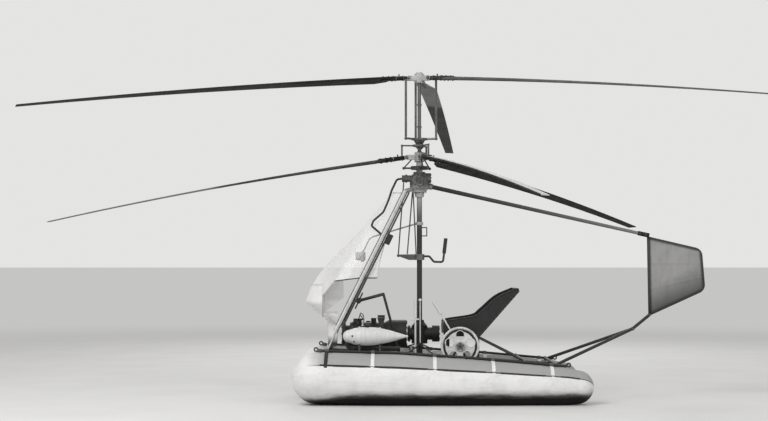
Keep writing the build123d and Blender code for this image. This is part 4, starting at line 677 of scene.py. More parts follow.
# Name, tone, spread of the tone, roughness, metallic, scale of the grain, dirt
METALS = (
    ("frame_paint", 0.028, 0.25, 0.45, 0.0, 90.0, 0.35),
    ("white_paint", 0.62, 0.08, 0.45, 0.0, 90.0, 0.3),
    ("pod_paint", 0.36, 0.3, 0.45, 0.0, 90.0, 0.35),
    ("cast_case", 0.05, 0.6, 0.45, 0.2, 160.0, 0.35),
    ("dark_case", 0.016, 0.25, 0.5, 0.0, 140.0, 0.35),
    ("cylinder_iron", 0.02, 0.25, 0.55, 0.2, 90.0, 0.35),
    ("tank_metal", 0.62, 0.1, 0.35, 0.0, 90.0, 0.25),
    ("bright_steel", 0.12, 0.5, 0.35, 0.5, 90.0, 0.35),
    # The hubs' paler steel is a painted highlight.
    ("hub_steel_highlit", 0.34, 0.4, 0.35, 0.3, 90.0, 0.55),
    ("seat_shell", 0.02, 0.25, 0.5, 0.0, 90.0, 0.35),
    ("rubber", 0.02, 0.1, 0.7, 0.0, 90.0, 0.1),
    ("copper", 0.3, 0.25, 0.35, 0.7, 90.0, 0.35),
    ("dial_face", 0.015, 0.1, 0.6, 0.0, 90.0, 0.05),
    ("dial_mark", 0.8, 0.05, 0.6, 0.0, 90.0, 0.05),
)
# Painted light and shade of each blade: name, inner tone, outer tone, where the one turns into the other,
# azimuth of a blade with painted shade on its edges
BLADES = (
    ("upper_blade_1", 0.02, 0.03, 1.0, None),
    ("upper_blade_2", 0.22, 0.05, 1.0, None),
    ("upper_blade_3", 0.035, 0.05, 0.9, None),
    ("lower_blade_1", 0.012, 0.13, 1.55, None),
    ("lower_blade_2", 0.012, 0.016, 1.2, None),
    ("lower_blade_3", 0.02, 0.46, 0.34, -78),
)
MATERIALS = {
    "mast_paint": two_tone_paint("mast_paint", ((0.64, 0.026), (0.7, 0.1), (0.77, 0.3)), 0.0),
    # The gearbox's paler patches are painted highlights.
    "box_paint_and_highlights": two_tone_paint("box_paint_and_highlights", ((0.79, 0.36), (0.82, 0.07), (0.9, 0.035)), 0.12),
    "strut_paint_and_shade": strut_paint_and_shade(),
    "boom_paint": boom_paint(),
    "wheel_paint_and_shade": wheel_paint_and_shade(),
    "cap_paint_and_shade": cap_paint_and_shade(),
    "fin_fabric": fin_cloth(),
    "float_fabric": float_cloth(),
    "strap_webbing": harness_webbing(),
    "seat_leather": leather("seat_leather", 0.035),
    "thread": twisted("thread", 0.35),
    "rope": twisted("rope", 0.12),
    "clear_panel": screen_sheet(),
    "dial_glass": clear_glass(),
}
MATERIALS.update((name, metal_paint(name, *values)) for name, *values in METALS)
MATERIALS.update((name, blade_light_and_shade(f"{name}_paint", *values)) for name, *values in BLADES)

# Nodes whose finish differs from the rest of their slot
OWN_FINISH = {
    "front_strut_left": "strut_paint_and_shade",
    "front_strut_right": "strut_paint_and_shade",
    "lower_hub": "hub_steel_highlit",
    "upper_hub": "hub_steel_highlit",
    "mast": "mast_paint",
    "upper_gearbox": "box_paint_and_highlights",
    "instrument_pod": "pod_paint",
    "tail_boom": "boom_paint",
    "hand_wheel": "wheel_paint_and_shade",
}

for part in frame["record"]["subparts"]:
    name = part["node"]
    materials = frame["nodes"][name].data.materials
    materials.clear()
    materials.append(MATERIALS.get(name) or MATERIALS[OWN_FINISH.get(name, part["material_slot"])])


FLOAT_COLUMNS = 144
FLOAT_SPAN_ROWS = 230
FLOAT_CAP_ROWS = 26
CAP_LIMIT = radians(89.2)


def float_skin(side):
    """The inflated fabric of one float, from its nose to its tail."""
    turns = [CAP_LIMIT * row / FLOAT_CAP_ROWS for row in range(1, FLOAT_CAP_ROWS + 1)]
    rows = [(FLOAT_FORE, turn) for turn in reversed(turns)]
    for row in range(FLOAT_SPAN_ROWS + 1):
        rows.append((FLOAT_FORE + (FLOAT_AFT - FLOAT_FORE) * row / FLOAT_SPAN_ROWS, 0.0))
    rows += [(FLOAT_AFT, turn) for turn in turns]
    angles = [360 * column / FLOAT_COLUMNS - 90 for column in range(FLOAT_COLUMNS)]
    shape = Shape()
    shape.skin([[skin_point(side, aft, angle, cap) for angle in angles] for aft, cap in rows])
    return shape


PATCH_REACH = (0.062, 10.5)  # half length, and degrees above and below the batten
PATCH_RINGS = ((1.0, 0.0002), (0.97, 0.0016), (0.9, 0.0022), (0.5, 0.0026), (0.05, 0.0028))


def strap_patches(side):
    """Oval patches cemented on under the ends of the straps."""
    shape = Shape()
    for place in STRAP_PLACES:
        for batten in BATTENS:
            rings = []
            for share, lift in PATCH_RINGS:
                ring = []
                for turn in circle(40):
                    aft = place + PATCH_REACH[0] * share * cos(turn)
                    angle = batten + PATCH_REACH[1] * share * sin(turn)
                    ring.append(skin_point(side, aft, angle, lift=lift))
                rings.append(ring)
            shape.skin(rings)
    return shape


def strap_ends(side):
    """Leather tabs that hold the straps' ends to the battens, with two rivets each."""
    shape = Shape()
    for place in STRAP_PLACES:
        for batten, sense in zip(BATTENS, (1, -1)):
            angles = [batten - sense * step for step in range(1, 7)]
            points = [float_point(side, place, angle) for angle in angles]
            shape.band(points, [float_out(angle) for angle in angles], 0.012, 0.0032, 0.0026)
            angle = batten - sense * 4.4
            point = float_point(side, place, angle)
            out = float_out(angle)
            for along in (-0.007, 0.007):
                shape.turned(point + FLOAT_ALONG * along + out * 0.0055, out, RIVET, 10)
    return shape


def strap_seams(side):
    """Raised folded edges along the straps."""
    shape = Shape()
    angles = [BATTEN_ANGLE + 4 + step * 4 for step in range(27)]
    for place in STRAP_PLACES:
        for along in (-0.0095, 0.0095):
            points = [float_point(side, place + along, angle, 0.0042) for angle in angles]
            shape.band(points, [float_out(angle) for angle in angles], 0.0022, 0.0, 0.0008)
    return shape


def float_seams(side):
    """Seam tapes round the float, clear of the straps and the ground."""
    shape = Shape()
    for place, count in ((-0.758, 62), (0.3, 24), (1.062, 24)):
        angles = [-62 + step * 4 for step in range(count)]
        points = [skin_point(side, place, angle) for angle in angles]
        shape.band(points, [float_out(angle) for angle in angles], 0.011, -0.0003, 0.0011)
    return shape


def lashings(side):
    """Cord wound round the rail at each strap, with a few turns at the mooring eye."""
    shape = Shape()
    for place in STRAP_PLACES:
        middle = float_point(side, place, 90, RAIL_LIFT)
        shape.wound(middle, FLOAT_ALONG, RAIL_RADIUS + 0.0018, 6, 0.0045, 0.0022)
    eye = float_point(side, -0.752, 90, RAIL_LIFT)
    shape.wound(eye, FLOAT_ALONG, RAIL_RADIUS + 0.0024, 5, 0.006, 0.003)
    return shape


for name, side in (("left", -1), ("right", 1)):
    piece(f"float_skin_{name}", float_skin(side), "float_fabric", replaces=f"float_{name}", sharp=60)
    piece(f"strap_patches_{name}", strap_patches(side), "float_fabric")
    piece(f"float_seams_{name}", float_seams(side), "float_fabric")
    piece(f"strap_ends_{name}", strap_ends(side), "strap_webbing")
    piece(f"strap_seams_{name}", strap_seams(side), "strap_webbing")
    piece(f"lashings_{name}", lashings(side), "strap_webbing", "rope")


# Nose: the windscreen and the cap under it, as smooth thin sheets

# Height, front edge, half width, length of the rounded front, rear edge
NOSE_SECTIONS = (
    (0.601, -0.707, 0.215, 0.12, -0.56),
    (0.739, -0.872, 0.262, 0.3, -0.42),
    (0.87, -0.823, 0.238, 0.29, -0.33),
    (1.029, -0.711, 0.186, 0.25, -0.31),
    (1.289, -0.45, 0.108, 0.15, -0.235),
    (1.574, -0.214, 0.034, 0.06, -0.118),
)
NOSE_HEAD = NOSE_SECTIONS[-1][0]
NOSE_STRIP = -0.735  # rear edge of the cap
# Aft of this bend, a dark tube along the side opening's edge is painted shade.
NOSE_BEND = -0.655  # where the side opening's binding turns dark
SCREEN_SEAM = 0.87
# Lower edge of the windscreen, seen from the side: aft of the mast, height
SCREEN_EDGE = ((-1.0, 0.755), (-0.76, 0.755), (-0.65, 0.9), (-0.47, 0.922), (-0.2, 0.926))
ROUND_SHARE = 0.68  # of the columns lie on the rounded front
SCREEN_COLUMNS = 96
SCREEN_ROWS = 120
CAP_FOOT = 0.627
CAP_ROWS = 48
CAP_COLUMNS = 48


def nose_outline(height):
    """Front, half width, rounding and rear edge of the nose at a height, eased between its sections."""
    return eased(NOSE_SECTIONS, height, 0.018 + 0.05 * ease((height - 0.76) / 0.12))


def nose_point(height, turn):
    """A point of the nose: turn is -1 at the port rear edge, 0 at the front and 1 to starboard."""
    front, half_width, rounding, rear = nose_outline(height)
    shoulder = front + rounding
    share = abs(turn)
    if share < ROUND_SHARE:
        angle = share / ROUND_SHARE * pi / 2
        aft = shoulder - rounding * cos(angle)
        return at(aft, copysign(half_width * sin(angle), turn), height)
    aft = shoulder + (rear - shoulder) * (share - ROUND_SHARE) / (1 - ROUND_SHARE)
    return at(aft, copysign(half_width, turn), height)


def screen_foot(turn):
    """The height at which a column of the windscreen starts, closed in on by halves."""
    low, high = 0.62, NOSE_HEAD
    for _ in range(24):
        height = (low + high) / 2
        aft = nose_point(height, turn).x - MAST_X
        edge = SCREEN_SEAM if aft < NOSE_STRIP else between(SCREEN_EDGE, aft)[0]
        low, high = (low, height) if height >= edge else (height, high)
    return high


def screen_columns():
    """The windscreen as columns of points, from the port rear edge round to starboard."""
    columns = []
    for column in range(SCREEN_COLUMNS + 1):
        turn = 2 * column / SCREEN_COLUMNS - 1
        foot = screen_foot(turn)
        rise = (NOSE_HEAD - foot) / SCREEN_ROWS
        columns.append([nose_point(foot + rise * row, turn) for row in range(SCREEN_ROWS + 1)])
    return columns


def cap_rows():
    """The cap as rows of points, from its low tip up to the seam."""
    rows = []
    for row in range(CAP_ROWS + 1):
        height = CAP_FOOT + (SCREEN_SEAM - CAP_FOOT) * row / CAP_ROWS
        front, _, rounding, _ = nose_outline(height)
        reach = acos(limited((front + rounding - NOSE_STRIP) / rounding))
        limit = reach / (pi / 2) * ROUND_SHARE
        turns = [limit * (2 * column / CAP_COLUMNS - 1) for column in range(CAP_COLUMNS + 1)]
        rows.append([nose_point(height, turn) for turn in turns])
    return rows


columns = screen_columns()
rows = cap_rows()
sheets("screen_sheet", [columns], "clear_panel", "clear_panel", "windscreen")
sheets("cap_sheet", [rows], "white_paint", "cap_paint_and_shade", "nose_cap")

# Painted shade: the dark tube along the opening's edge aft of the bend.
dark = Shape()
pale = Shape()
for side in SIDES:
    edge = [column[0] for column in columns if column[0].y * side > 0]
    dark.tube([point for point in edge if point.x - MAST_X > NOSE_BEND], 0.0034)
    pale.tube([point for point in edge if NOSE_STRIP - 0.004 < point.x - MAST_X < NOSE_BEND + 0.01], 0.0018)
for line in (columns[0], columns[-1], [column[-1] for column in columns]):
    pale.tube(line, 0.0024)
for line in ([row[0] for row in rows], [row[-1] for row in rows], rows[0]):
    pale.tube(line, 0.0026)
piece("opening_shade_line", dark, "frame_paint", "dark_case")
piece("nose_binding", pale, "white_paint")

APRON_BACK = -0.6943
APRON_SIDE = 0.0585
SKIRT_DEPTH = 0.066
SKIRT_TOP = 0.662
SKIRT_FLARE = 0.56  # the skirt spreads above this height
SKIRT_ROWS = 40
LINER_REAR = -0.585


def nose_side(aft, height):
    """How far from the middle the nose is at a height and a place along the craft."""
    front, half_width, rounding, _ = nose_outline(height)
    return half_width * sin(acos(limited((front + rounding - aft) / rounding)))


def nose_skirt(side):
    """One side of the folded sheet that leads from the apron up and out to the nose."""
    rows = []
    foot = float_point(side, -0.684, 90, RAIL_LIFT).z + 0.014
    spread = 0.1 if side > 0 else 0.04
    for row in range(SKIRT_ROWS + 1):
        height = foot + (SKIRT_TOP - foot) * row / SKIRT_ROWS
        flare = ease((height - SKIRT_FLARE) / (SKIRT_TOP - SKIRT_FLARE))
        line = []
        for step in range(13):
            low = at(APRON_BACK + SKIRT_DEPTH * step / 12, side * (APRON_SIDE + 0.008 * step / 12), height)
            aft = NOSE_STRIP + spread * step / 12
            high = at(aft, side * nose_side(aft, max(height, 0.63)), height)
            line.append(low.lerp(high, flare))
        rows.append(line)
    return rows


def nose_liner():
    """The starboard side of the nose behind the cap, which is closed, as columns of points."""
    columns = []
    for step in range(25):
        aft = NOSE_STRIP + (LINER_REAR - NOSE_STRIP) * step / 24
        low = 0.655 + 0.75 * (aft - NOSE_STRIP)
        high = between(SCREEN_EDGE, aft)[0] - 0.001
        heights = [low + (high - low) * row / 24 for row in range(25)]
        columns.append([at(aft, nose_side(aft, height), height) for height in heights])
    return columns


sheets("nose_skirt", [nose_skirt(side) for side in SIDES], "white_paint", "cap_paint_and_shade")
sheets("nose_liner", [nose_liner()], "white_paint", "cap_paint_and_shade")

# A riveted strip over the seam between the cap and the windscreen
strip = Shape()
seam_points = rows[-1]
seam_middle = MAST_X + nose_outline(SCREEN_SEAM)[0] + 0.29
seam_outs = [Vector((point.x - seam_middle, point.y, 0)).normalized() for point in seam_points]
strip.band(seam_points, seam_outs, 0.008, 0.0002, 0.0012)
for index in range(2, CAP_COLUMNS, 3):
    for shift in (-0.0045, 0.0045):
        place = seam_points[index] + seam_outs[index] * 0.0012 + Vector((0, 0, shift))
        strip.turned(place, seam_outs[index], [(a * 0.6, r * 0.6) for a, r in RIVET], 8)
piece("seam_strip", strip, "white_paint")


# Seat: a sewn cushion swelled as cloth, and a rolled rim round the bucket

SEAT_HALF_WIDTH = 0.2
SEAT_FRONT = ((0.182, 0.498), (0.181, 0.575), (0.205, 0.603), (0.405, 0.636))
SEAT_RIM = (*SEAT_FRONT, (0.47, 0.68), (0.59, 0.783), (0.722, 0.843))
# Rows of rivets on the bucket's sides: first and last as aft of the mast and height, spaces between them
SEAT_RIVETS = (((0.225, 0.497), (0.43, 0.497), 10), ((0.462, 0.512), (0.735, 0.822), 13))
CUSHION_SWELL = 0.009  # how far the cloth may move
CUSHION_CORNER = 0.032
CHANNELS = (-0.112, -0.037, 0.037, 0.112)
CHANNEL_DEPTH = 0.007
CHANNEL_HALF = 0.007
STITCHES = 26

cushion_low, cushion_high = (Vector(corner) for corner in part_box("seat_cushion"))


def rounded_block(low, high, corner):
    """A block with generous corners, as the start of a cushion."""
    form = bmesh.new()
    bmesh.ops.create_cube(form, size=1.0)
    size = high - low
    bmesh.ops.scale(form, vec=size, verts=form.verts)
    bmesh.ops.translate(form, vec=(low + high) / 2, verts=form.verts)
    corners = [edge for edge in form.edges if abs(edge.verts[0].co.z - edge.verts[1].co.z) > size.z / 2]
    bmesh.ops.bevel(form, geom=corners, offset=corner, segments=6, affect="EDGES")
    mesh = bpy.data.meshes.new("cushion")
    form.to_mesh(mesh)
    form.free()
    return mesh


def applied(made):
    """The mesh of an object with its modifiers, which are taken off it."""
    mesh = bpy.data.meshes.new_from_object(made.evaluated_get(bpy.context.evaluated_depsgraph_get()))
    made.modifiers.clear()
    return mesh


def swelled(made, pressure, reach):
    """Remesh a closed form and swell it as cloth, with no point moved further than a reach."""
    remesh = made.modifiers.new("remesh", "REMESH")
    remesh.mode = "VOXEL"
    remesh.voxel_size = 0.006
    made.data = applied(made)
    rest = [vertex.co.copy() for vertex in made.data.vertices]
    cloth = made.modifiers.new("cloth", "CLOTH")
    cloth.settings.use_pressure = True
    cloth.settings.uniform_pressure_force = pressure
    cloth.settings.effector_weights.gravity = 0
    for step in range(1, 21):
        scene.frame_set(step)
    made.data = applied(made)
    scene.frame_set(1)
    for vertex, place in zip(made.data.vertices, rest):
        move = vertex.co - place
        if move.length > reach:
            vertex.co = place + move.normalized() * reach


def sewn(mesh):
    """Press the sewn channels into the top and keep the cushion in its room."""
    for vertex in mesh.vertices:
        top = ease((vertex.co.z - cushion_low.z - 0.02) / 0.02)
        for channel in CHANNELS:
            away = (vertex.co.y - channel) / CHANNEL_HALF
            vertex.co.z -= CHANNEL_DEPTH * top * exp(-away * away)
        vertex.co.z = max(vertex.co.z, cushion_low.z + 0.0003)


inner = Vector((0.006, 0.006, 0.0))
block = rounded_block(cushion_low + inner, cushion_high - inner - Vector((0, 0, 0.008)), 0.03)
cushion = placed("cushion", block)
swelled(cushion, 4.0, CUSHION_SWELL)
sewn(cushion.data)
cushion.modifiers.new("finish", "SUBSURF").levels = 1
cushion.data = applied(cushion)
cushion.data.shade_smooth()
cushion.data.materials.clear()
cushion.data.materials.append(MATERIALS["seat_leather"])
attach(cushion, "airframe")
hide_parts("seat_cushion")


def surface_height(mesh, x, y):
    """Height of a mesh's top near a place."""
    near = [v.co.z for v in mesh.vertices if abs(v.co.x - x) < 0.006 and abs(v.co.y - y) < 0.006]
    return max(near, default=cushion_high.z)


stitching = Shape()
for channel in CHANNELS:
    for step in range(1, STITCHES):
        x = cushion_low.x + 0.014 + (cushion_high.x - cushion_low.x - 0.028) * step / STITCHES
        height = surface_height(cushion.data, x, channel) + 0.0004
        stitching.tube([Vector((x + shift, channel, height)) for shift in (-0.0026, 0.0026)], 0.0008, 6)
piece("cushion_stitching", stitching, "seat_leather", "thread")

piping = Shape()
for height in (cushion_low.z + 0.009, cushion_high.z - 0.013):
    path = []
    for quarter, (x_sense, y_sense) in enumerate(((1, 1), (-1, 1), (-1, -1), (1, -1))):
        corner_x = cushion_high.x if x_sense > 0 else cushion_low.x
        corner_y = cushion_high.y if y_sense > 0 else cushion_low.y
        inward = Vector((CUSHION_CORNER * x_sense, CUSHION_CORNER * y_sense, 0))
        middle = Vector((corner_x, corner_y, height)) - inward
        for step in range(9):
            path.append(middle + spoke(1, radians(90 * quarter + step * 11.25)) * 0.031)
    piping.tube([*path, path[0]], 0.0032, 10)
piece("cushion_piping", piping, "seat_leather")

rim = Shape()
for side in SIDES:
    route = [at(aft, side * (SEAT_HALF_WIDTH - 0.003), height) for aft, height in SEAT_RIM]
    rim.tube(smooth_path(*route), 0.0065, 12)
for middle, half, radius in (
    (at(0.734, 0, 0.8405), SEAT_HALF_WIDTH, 0.0075),
    (at(0.183, 0, 0.6), SEAT_HALF_WIDTH - 0.02, 0.006),
):
    rim.tube([middle - Vector((0, half, 0)), middle + Vector((0, half, 0))], radius, 12)
piece("seat_rim", rim, "seat_shell")

rivets = Shape()
for side in SIDES:
    for first, last, spaces in SEAT_RIVETS:
        for step in range(spaces + 1):
            aft, height = (start + (end - start) * step / spaces for start, end in zip(first, last))
            rivets.turned(at(aft, side * SEAT_HALF_WIDTH, height), (0, side, 0), RIVET, 10)
piece("seat_rivets", rivets, "seat_shell", "bright_steel")


# Tanks: weld seams, bands, a filler cap and drain plugs

TANK_OFFSET = 0.4
TANK_HEIGHT = 0.497
TANK_NOSE = ((-0.528, 0.046), (-0.49, 0.06), (-0.44, 0.067), (-0.38, 0.068))
TANK_STATIONS = (*TANK_NOSE, (-0.31, 0.062), (-0.22, 0.042), (-0.094, 0.004))
TANK_SEAMS = (-0.52, -0.41, -0.24)
TANK_BANDS = (-0.45, -0.3)
TANK_BAND_HALF = 0.009
FILLER_PLACE = -0.395
FILLER = ((0, 0.021), (0.006, 0.021), (0.007, 0.018), (0.016, 0.018), (0.018, 0.0165), (0.019, 0.006))
PLUG = ((0, 0.0075), (0.002, 0.0075), (0.0025, 0.0055), (0.006, 0.0055), (0.007, 0.004))
# Plugs on a tank's nose: aft of the mast, degrees round from the outside upwards
TANK_PLUGS = ((-0.502, 4), (-0.49, -38))


def tank_radius(aft):
    """Radius of a tank at a place aft of the mast."""
    return between(TANK_STATIONS, aft)[0]


seams = Shape()
caps = Shape()
bands = Shape()
for side in SIDES:
    for place in TANK_SEAMS:
        fore, middle, aft = (tank_radius(place + shift) for shift in (-0.005, 0.0, 0.005))
        raised = ((-0.0035, middle + 0.0012), (0.0035, middle + 0.0012))
        profile = ((-0.005, fore - 0.001), *raised, (0.005, aft - 0.001))
        seams.turned(at(place, side * TANK_OFFSET, TANK_HEIGHT), (1, 0, 0), profile, 64)
    top = at(FILLER_PLACE, side * TANK_OFFSET, TANK_HEIGHT + tank_radius(FILLER_PLACE) - 0.002)
    caps.turned(top, (0, 0, 1), FILLER, 28)
    for place, degrees in TANK_PLUGS:
        out = outward(degrees, side)
        foot = at(place, side * TANK_OFFSET, TANK_HEIGHT) + out * (tank_radius(place) - 0.002)
        caps.turned(foot, out + Vector((-0.5, 0, 0)), PLUG, 6)
    for place in TANK_BANDS:
        centre = at(place, side * TANK_OFFSET, TANK_HEIGHT)
        profile = []
        for along, depths in ((-TANK_BAND_HALF, (-0.001, 0.0016)), (TANK_BAND_HALF, (0.0016, -0.001))):
            profile += [(along, tank_radius(place + along) + depth) for depth in depths]
        bands.turned(centre, (1, 0, 0), profile, 64)
        bands.bolt(centre + Vector((0, 0, tank_radius(place) + 0.001)), (0, 0, 1), 0.009)
piece("tank_seams", seams, "tank_metal")
piece("tank_caps", caps, "dark_case")
piece("tank_bands", bands, "tank_metal")


# Engine: plugs, leads, fuel pipes, nuts and bolts

ENGINE_HEIGHT = 0.5
CYLINDER_PLACE = -0.4
PLUG_LOWER = ((0, 0.009), (0.006, 0.009), (0.007, 0.006), (0.012, 0.0065))
PLUG_BODY = (*PLUG_LOWER, (0.028, 0.0055), (0.029, 0.0075), (0.044, 0.0075), (0.047, 0.005))
MAGNETO_AFT = -0.465
MAGNETO_UP = 0.584
MAGNETO_RADIUS = 0.03
BELL_AFT, BELL_RADIUS = -0.1, 0.096
FRONT_AFT, FRONT_RADIUS = -0.59, 0.078
BOLT_SHARE = 0.96  # of a flange's radius, to its ring of bolts
CASE_BOLTS = (-0.512, -0.468, -0.332, -0.288)

bolts = Shape()
bolts.bolt_ring(at(BELL_AFT, 0, ENGINE_HEIGHT), (1, 0, 0), BELL_RADIUS * BOLT_SHARE, 12, 0.011)
bolts.bolt_ring(at(FRONT_AFT, 0, ENGINE_HEIGHT), (-1, 0, 0), FRONT_RADIUS * BOLT_SHARE, 6, 0.01)
for fore in CASE_BOLTS:
    for degrees in (35, 60, 120, 145):
        out = outward(degrees)
        bolts.bolt(at(fore, 0, ENGINE_HEIGHT) + out * 0.09, out, 0.009)
for side in SIDES:
    for shift in (-0.026, 0.026):
        bolts.bolt(at(CYLINDER_PLACE + shift, side * 0.298, ENGINE_HEIGHT), (0, side, 0), 0.014)
    for up in (0.0464, -0.0464):
        for aft in (-0.0187, 0.0187):
            bolts.bolt(at(CYLINDER_PLACE + aft, side * 0.28, ENGINE_HEIGHT + up), (0, side, 0), 0.011)
piece("engine_bolts", bolts, "bright_steel")

plugs = Shape()
leads = Shape()
pipes = Shape()
unions = Shape()
for side in SIDES:
    foot = at(CYLINDER_PLACE - 0.03, side * 0.259, ENGINE_HEIGHT + 0.066)
    plugs.turned(foot, (0, side * 0.2, 1), PLUG_BODY, 14)
    top = foot + Vector((0, side * 0.0085, 0.043))
    end = at(MAGNETO_AFT, side * MAGNETO_RADIUS * 0.85, MAGNETO_UP + MAGNETO_RADIUS * 0.45)
    path = smooth_path(
        top,
        top + Vector((-0.004, side * 0.012, 0.022)),
        top + Vector((-0.022, -side * 0.045, 0.04)),
        at(MAGNETO_AFT + 0.012, side * 0.1, MAGNETO_UP + 0.058),
        end + Vector((0, side * 0.02, 0.012)),
        end,
    )
    leads.tube(path, 0.0034)

    out = Vector((0, -side, -0.5)).normalized()
    start = at(-0.33, side * TANK_OFFSET, TANK_HEIGHT) + out * (tank_radius(-0.33) - 0.003)
    end = at(-0.292, side * (0.246 + 0.027), 0.531)
    path = smooth_path(
        start,
        start + out * 0.03,
        at(-0.318, side * 0.33, 0.448),
        at(-0.296, side * 0.3, 0.515),
        end + Vector((0, side * 0.012, 0)),
        end,
    )
    pipes.tube(path, 0.0035)
    for place, direction in ((start, out), (end, (0, side, 0))):
        unions.turned(place, direction, ((0, 0.0075), (0.01, 0.0075), (0.012, 0.006)), 6)
piece("spark_plugs", plugs, "white_paint")
piece("plug_leads", leads, "dark_case", "rubber")
piece("fuel_pipes", pipes, "bright_steel", "copper")
piece("pipe_unions", unions, "bright_steel")


# Gearboxes: bolts of the side covers, the flanges and the rim

GEARBOX_MIDDLE = 1.65
COVER_SIDE = 0.084

bolts = Shape()
for side in SIDES:
    bolts.bolt_ring(at(0, side * COVER_SIDE, GEARBOX_MIDDLE), (0, side, 0), 0.035, 6, 0.008, 0.5)
    bolts.bolt(at(0, side * 0.096, GEARBOX_MIDDLE), (0, side, 0), 0.016)
for aft, height, direction, radius, count, across in (
    (0, 1.58, (0, 0, -1), 0.048, 8, 0.009),
    (-0.108, 1.683, (1, 0, 0), 0.029, 6, 0.006),
    (0.088, 1.687, (1, 0, 0), 0.028, 6, 0.008),
    (-0.074, ENGINE_HEIGHT, (1, 0, 0), 0.055, 8, 0.008),
    (0.15, ENGINE_HEIGHT, (1, 0, 0), 0.05, 8, 0.009),
):
    bolts.bolt_ring(at(aft, 0, height), direction, radius, count, across)
piece("gearbox_bolts", bolts, "bright_steel")


# Rotor heads: nuts on the hinge pins, bolts through the root plates, grease caps

HINGE_RADIUS = 0.095
DROOP_AT_HINGE = 0.75
PIN_REACH = 0.0212
ROOT_PLATE_TOP = 0.015
# Body, height, azimuth and droop of each blade
ROTORS = (
    ("upper_rotor", 2.451, ((202, 0.327), (83.5, 0.344), (-37, 0.344))),
    ("lower_rotor", 1.847, ((169, 0.48), (48, 0.48), (-78, 0.43))),
)
CUFF_RING = ((-0.004, 0.0195), (-0.003, 0.0205), (0.003, 0.0205), (0.004, 0.0195))
GREASE_CAP = ((0, 0.004), (0.006, 0.004), (0.007, 0.0065), (0.014, 0.0065), (0.016, 0.004))


def blade_frame(azimuth, droop, height):
    """Hinge of a blade and its three directions: out along the cuff, across it and up."""
    slope = DROOP_AT_HINGE * droop / (ROTOR_RADIUS - HINGE_RADIUS)
    level = spoke(1, radians(azimuth))
    out = (level - Vector((0, 0, slope))).normalized()
    across = Vector((-level.y, level.x, 0))
    return at(0, 0, height) + level * HINGE_RADIUS, out, across, out.cross(across)


for body, height, blades in ROTORS:
    head = Shape()
    for azimuth, droop in blades:
        hinge, out, across, up = blade_frame(azimuth, droop, height)
        for sense in (-1, 1):
            head.bolt(hinge + across * sense * PIN_REACH, across * sense, 0.019, 0.0085)
        for reach in (0.128, 0.165, 0.208):
            for shift in (0.016, -0.016):
                middle = hinge + out * reach + across * shift
                for sense in (-1, 1):
                    head.bolt(middle + up * (sense * ROOT_PLATE_TOP), up * sense, 0.009)
        for reach in (0.04, 0.105):
            head.turned(hinge + out * reach, out, CUFF_RING, 32)
        head.turned(hinge + out * 0.072 + up * 0.016, up, GREASE_CAP, 12)
    for sense in (1, -1):
        head.bolt_ring(at(0, 0, height + 0.034 * sense), (0, 0, sense), 0.0315, 6, 0.007, 0.3)
    piece(f"{body}_nuts", head, "bright_steel", body=body)

collars = Shape()
for height in (2.08, 2.25, 2.4):
    ring = ((-0.007, 0.0142), (-0.006, 0.018), (0.006, 0.018), (0.007, 0.0142))
    collars.turned(at(0, 0, height), (0, 0, 1), ring, 32)
piece("shaft_rings", collars, "bright_steel", body="upper_rotor")


# Frame: sockets and clamps where the cross tubes meet the rails

clamps = Shape()
for place in (-0.684, -0.06, 0.772, 1.004):
    height = float_point(1, place, 90, RAIL_LIFT).z
    for side in SIDES:
        middle = at(place, side * 0.419, height)
        clamps.turned(middle, (0, side, 0), ((0, 0.0135), (0.014, 0.0135), (0.018, 0.0115)), 24)
        for sense in (-1, 1):
            clamps.bolt(middle + Vector((0, side * 0.007, sense * 0.0125)), (0, 0, sense), 0.008)
piece("frame_clamps", clamps, "frame_paint")


# Fin: doped tapes over the ribs and along the edges

FIN_RIBS = (0.33, 0.67)
FIN_RIB_RADIUS = 0.006
FIN_SKIN = 0.004
TAPE_HALF = 0.014
TAPE_STEPS = 60
BOOM_FRONT = at(0.034, 0, 1.633)
BOOM_REAR = at(1.739, 0, 1.251)

tapes = Shape()
high, top_aft, low_aft, low = (at(aft, 0, height) for aft, height in FIN_CORNERS)
for share in FIN_RIBS:
    fore = high + (low - high) * share
    aft = top_aft + (low_aft - top_aft) * share
    along = (aft - fore).normalized()
    upward = Vector((-along.z, 0, along.x))
    for side in SIDES:
        rings = []
        for step in range(TAPE_STEPS + 1):
            middle = fore + (aft - fore) * (0.03 + 0.945 * step / TAPE_STEPS)
            edge = TAPE_HALF * (1 + 0.06 * (step % 2))
            half = [(edge, FIN_SKIN - 0.001), (edge, FIN_SKIN + 0.0005), (0.006, FIN_SKIN + 0.001)]
            profile = [(-wide, out) for wide, out in half] + [(0.0, FIN_RIB_RADIUS + 0.0008)] + half[::-1]
            rings.append([middle + upward * wide + Vector((0, side * out, 0)) for wide, out in profile])
        tapes.skin(rings)
for start, end in ((high, top_aft), (low_aft, low)):
    along = (end - start).normalized()
    inward = Vector((along.z, 0, -along.x)) * 0.016
    first = start + along * 0.02 + inward
    last = end - along * 0.07 + inward
    points = [first + (last - first) * step / 20 for step in range(21)]
    for side in SIDES:
        tapes.band(points, [Vector((0, side, 0))] * 21, 0.01, FIN_SKIN - 0.0005, 0.0011)
piece("fin_tapes", tapes, "fin_fabric")

nuts = Shape()
for side in SIDES:
    for place in (at(1.625, 0, 0.536), low):
        nuts.bolt(place + Vector((0, side * 0.0125, 0)), (0, side, 0), 0.012)
    for share in (0.2, 0.8):
        middle = BOOM_REAR + (BOOM_FRONT - BOOM_REAR).normalized() * 0.07 * share
        nuts.bolt(middle + Vector((0, side * 0.0165, 0)), (0, side, 0), 0.009)
piece("tail_nuts", nuts, "bright_steel")


# Hand wheel: bolts on its hub and a rolled lip round each hole

WHEEL = at(WHEEL_PLACE[0], -0.245, WHEEL_PLACE[1])
WHEEL_FACE = 0.003
HOLE_PLACE = 0.084
HOLE_RADIUS = 0.031

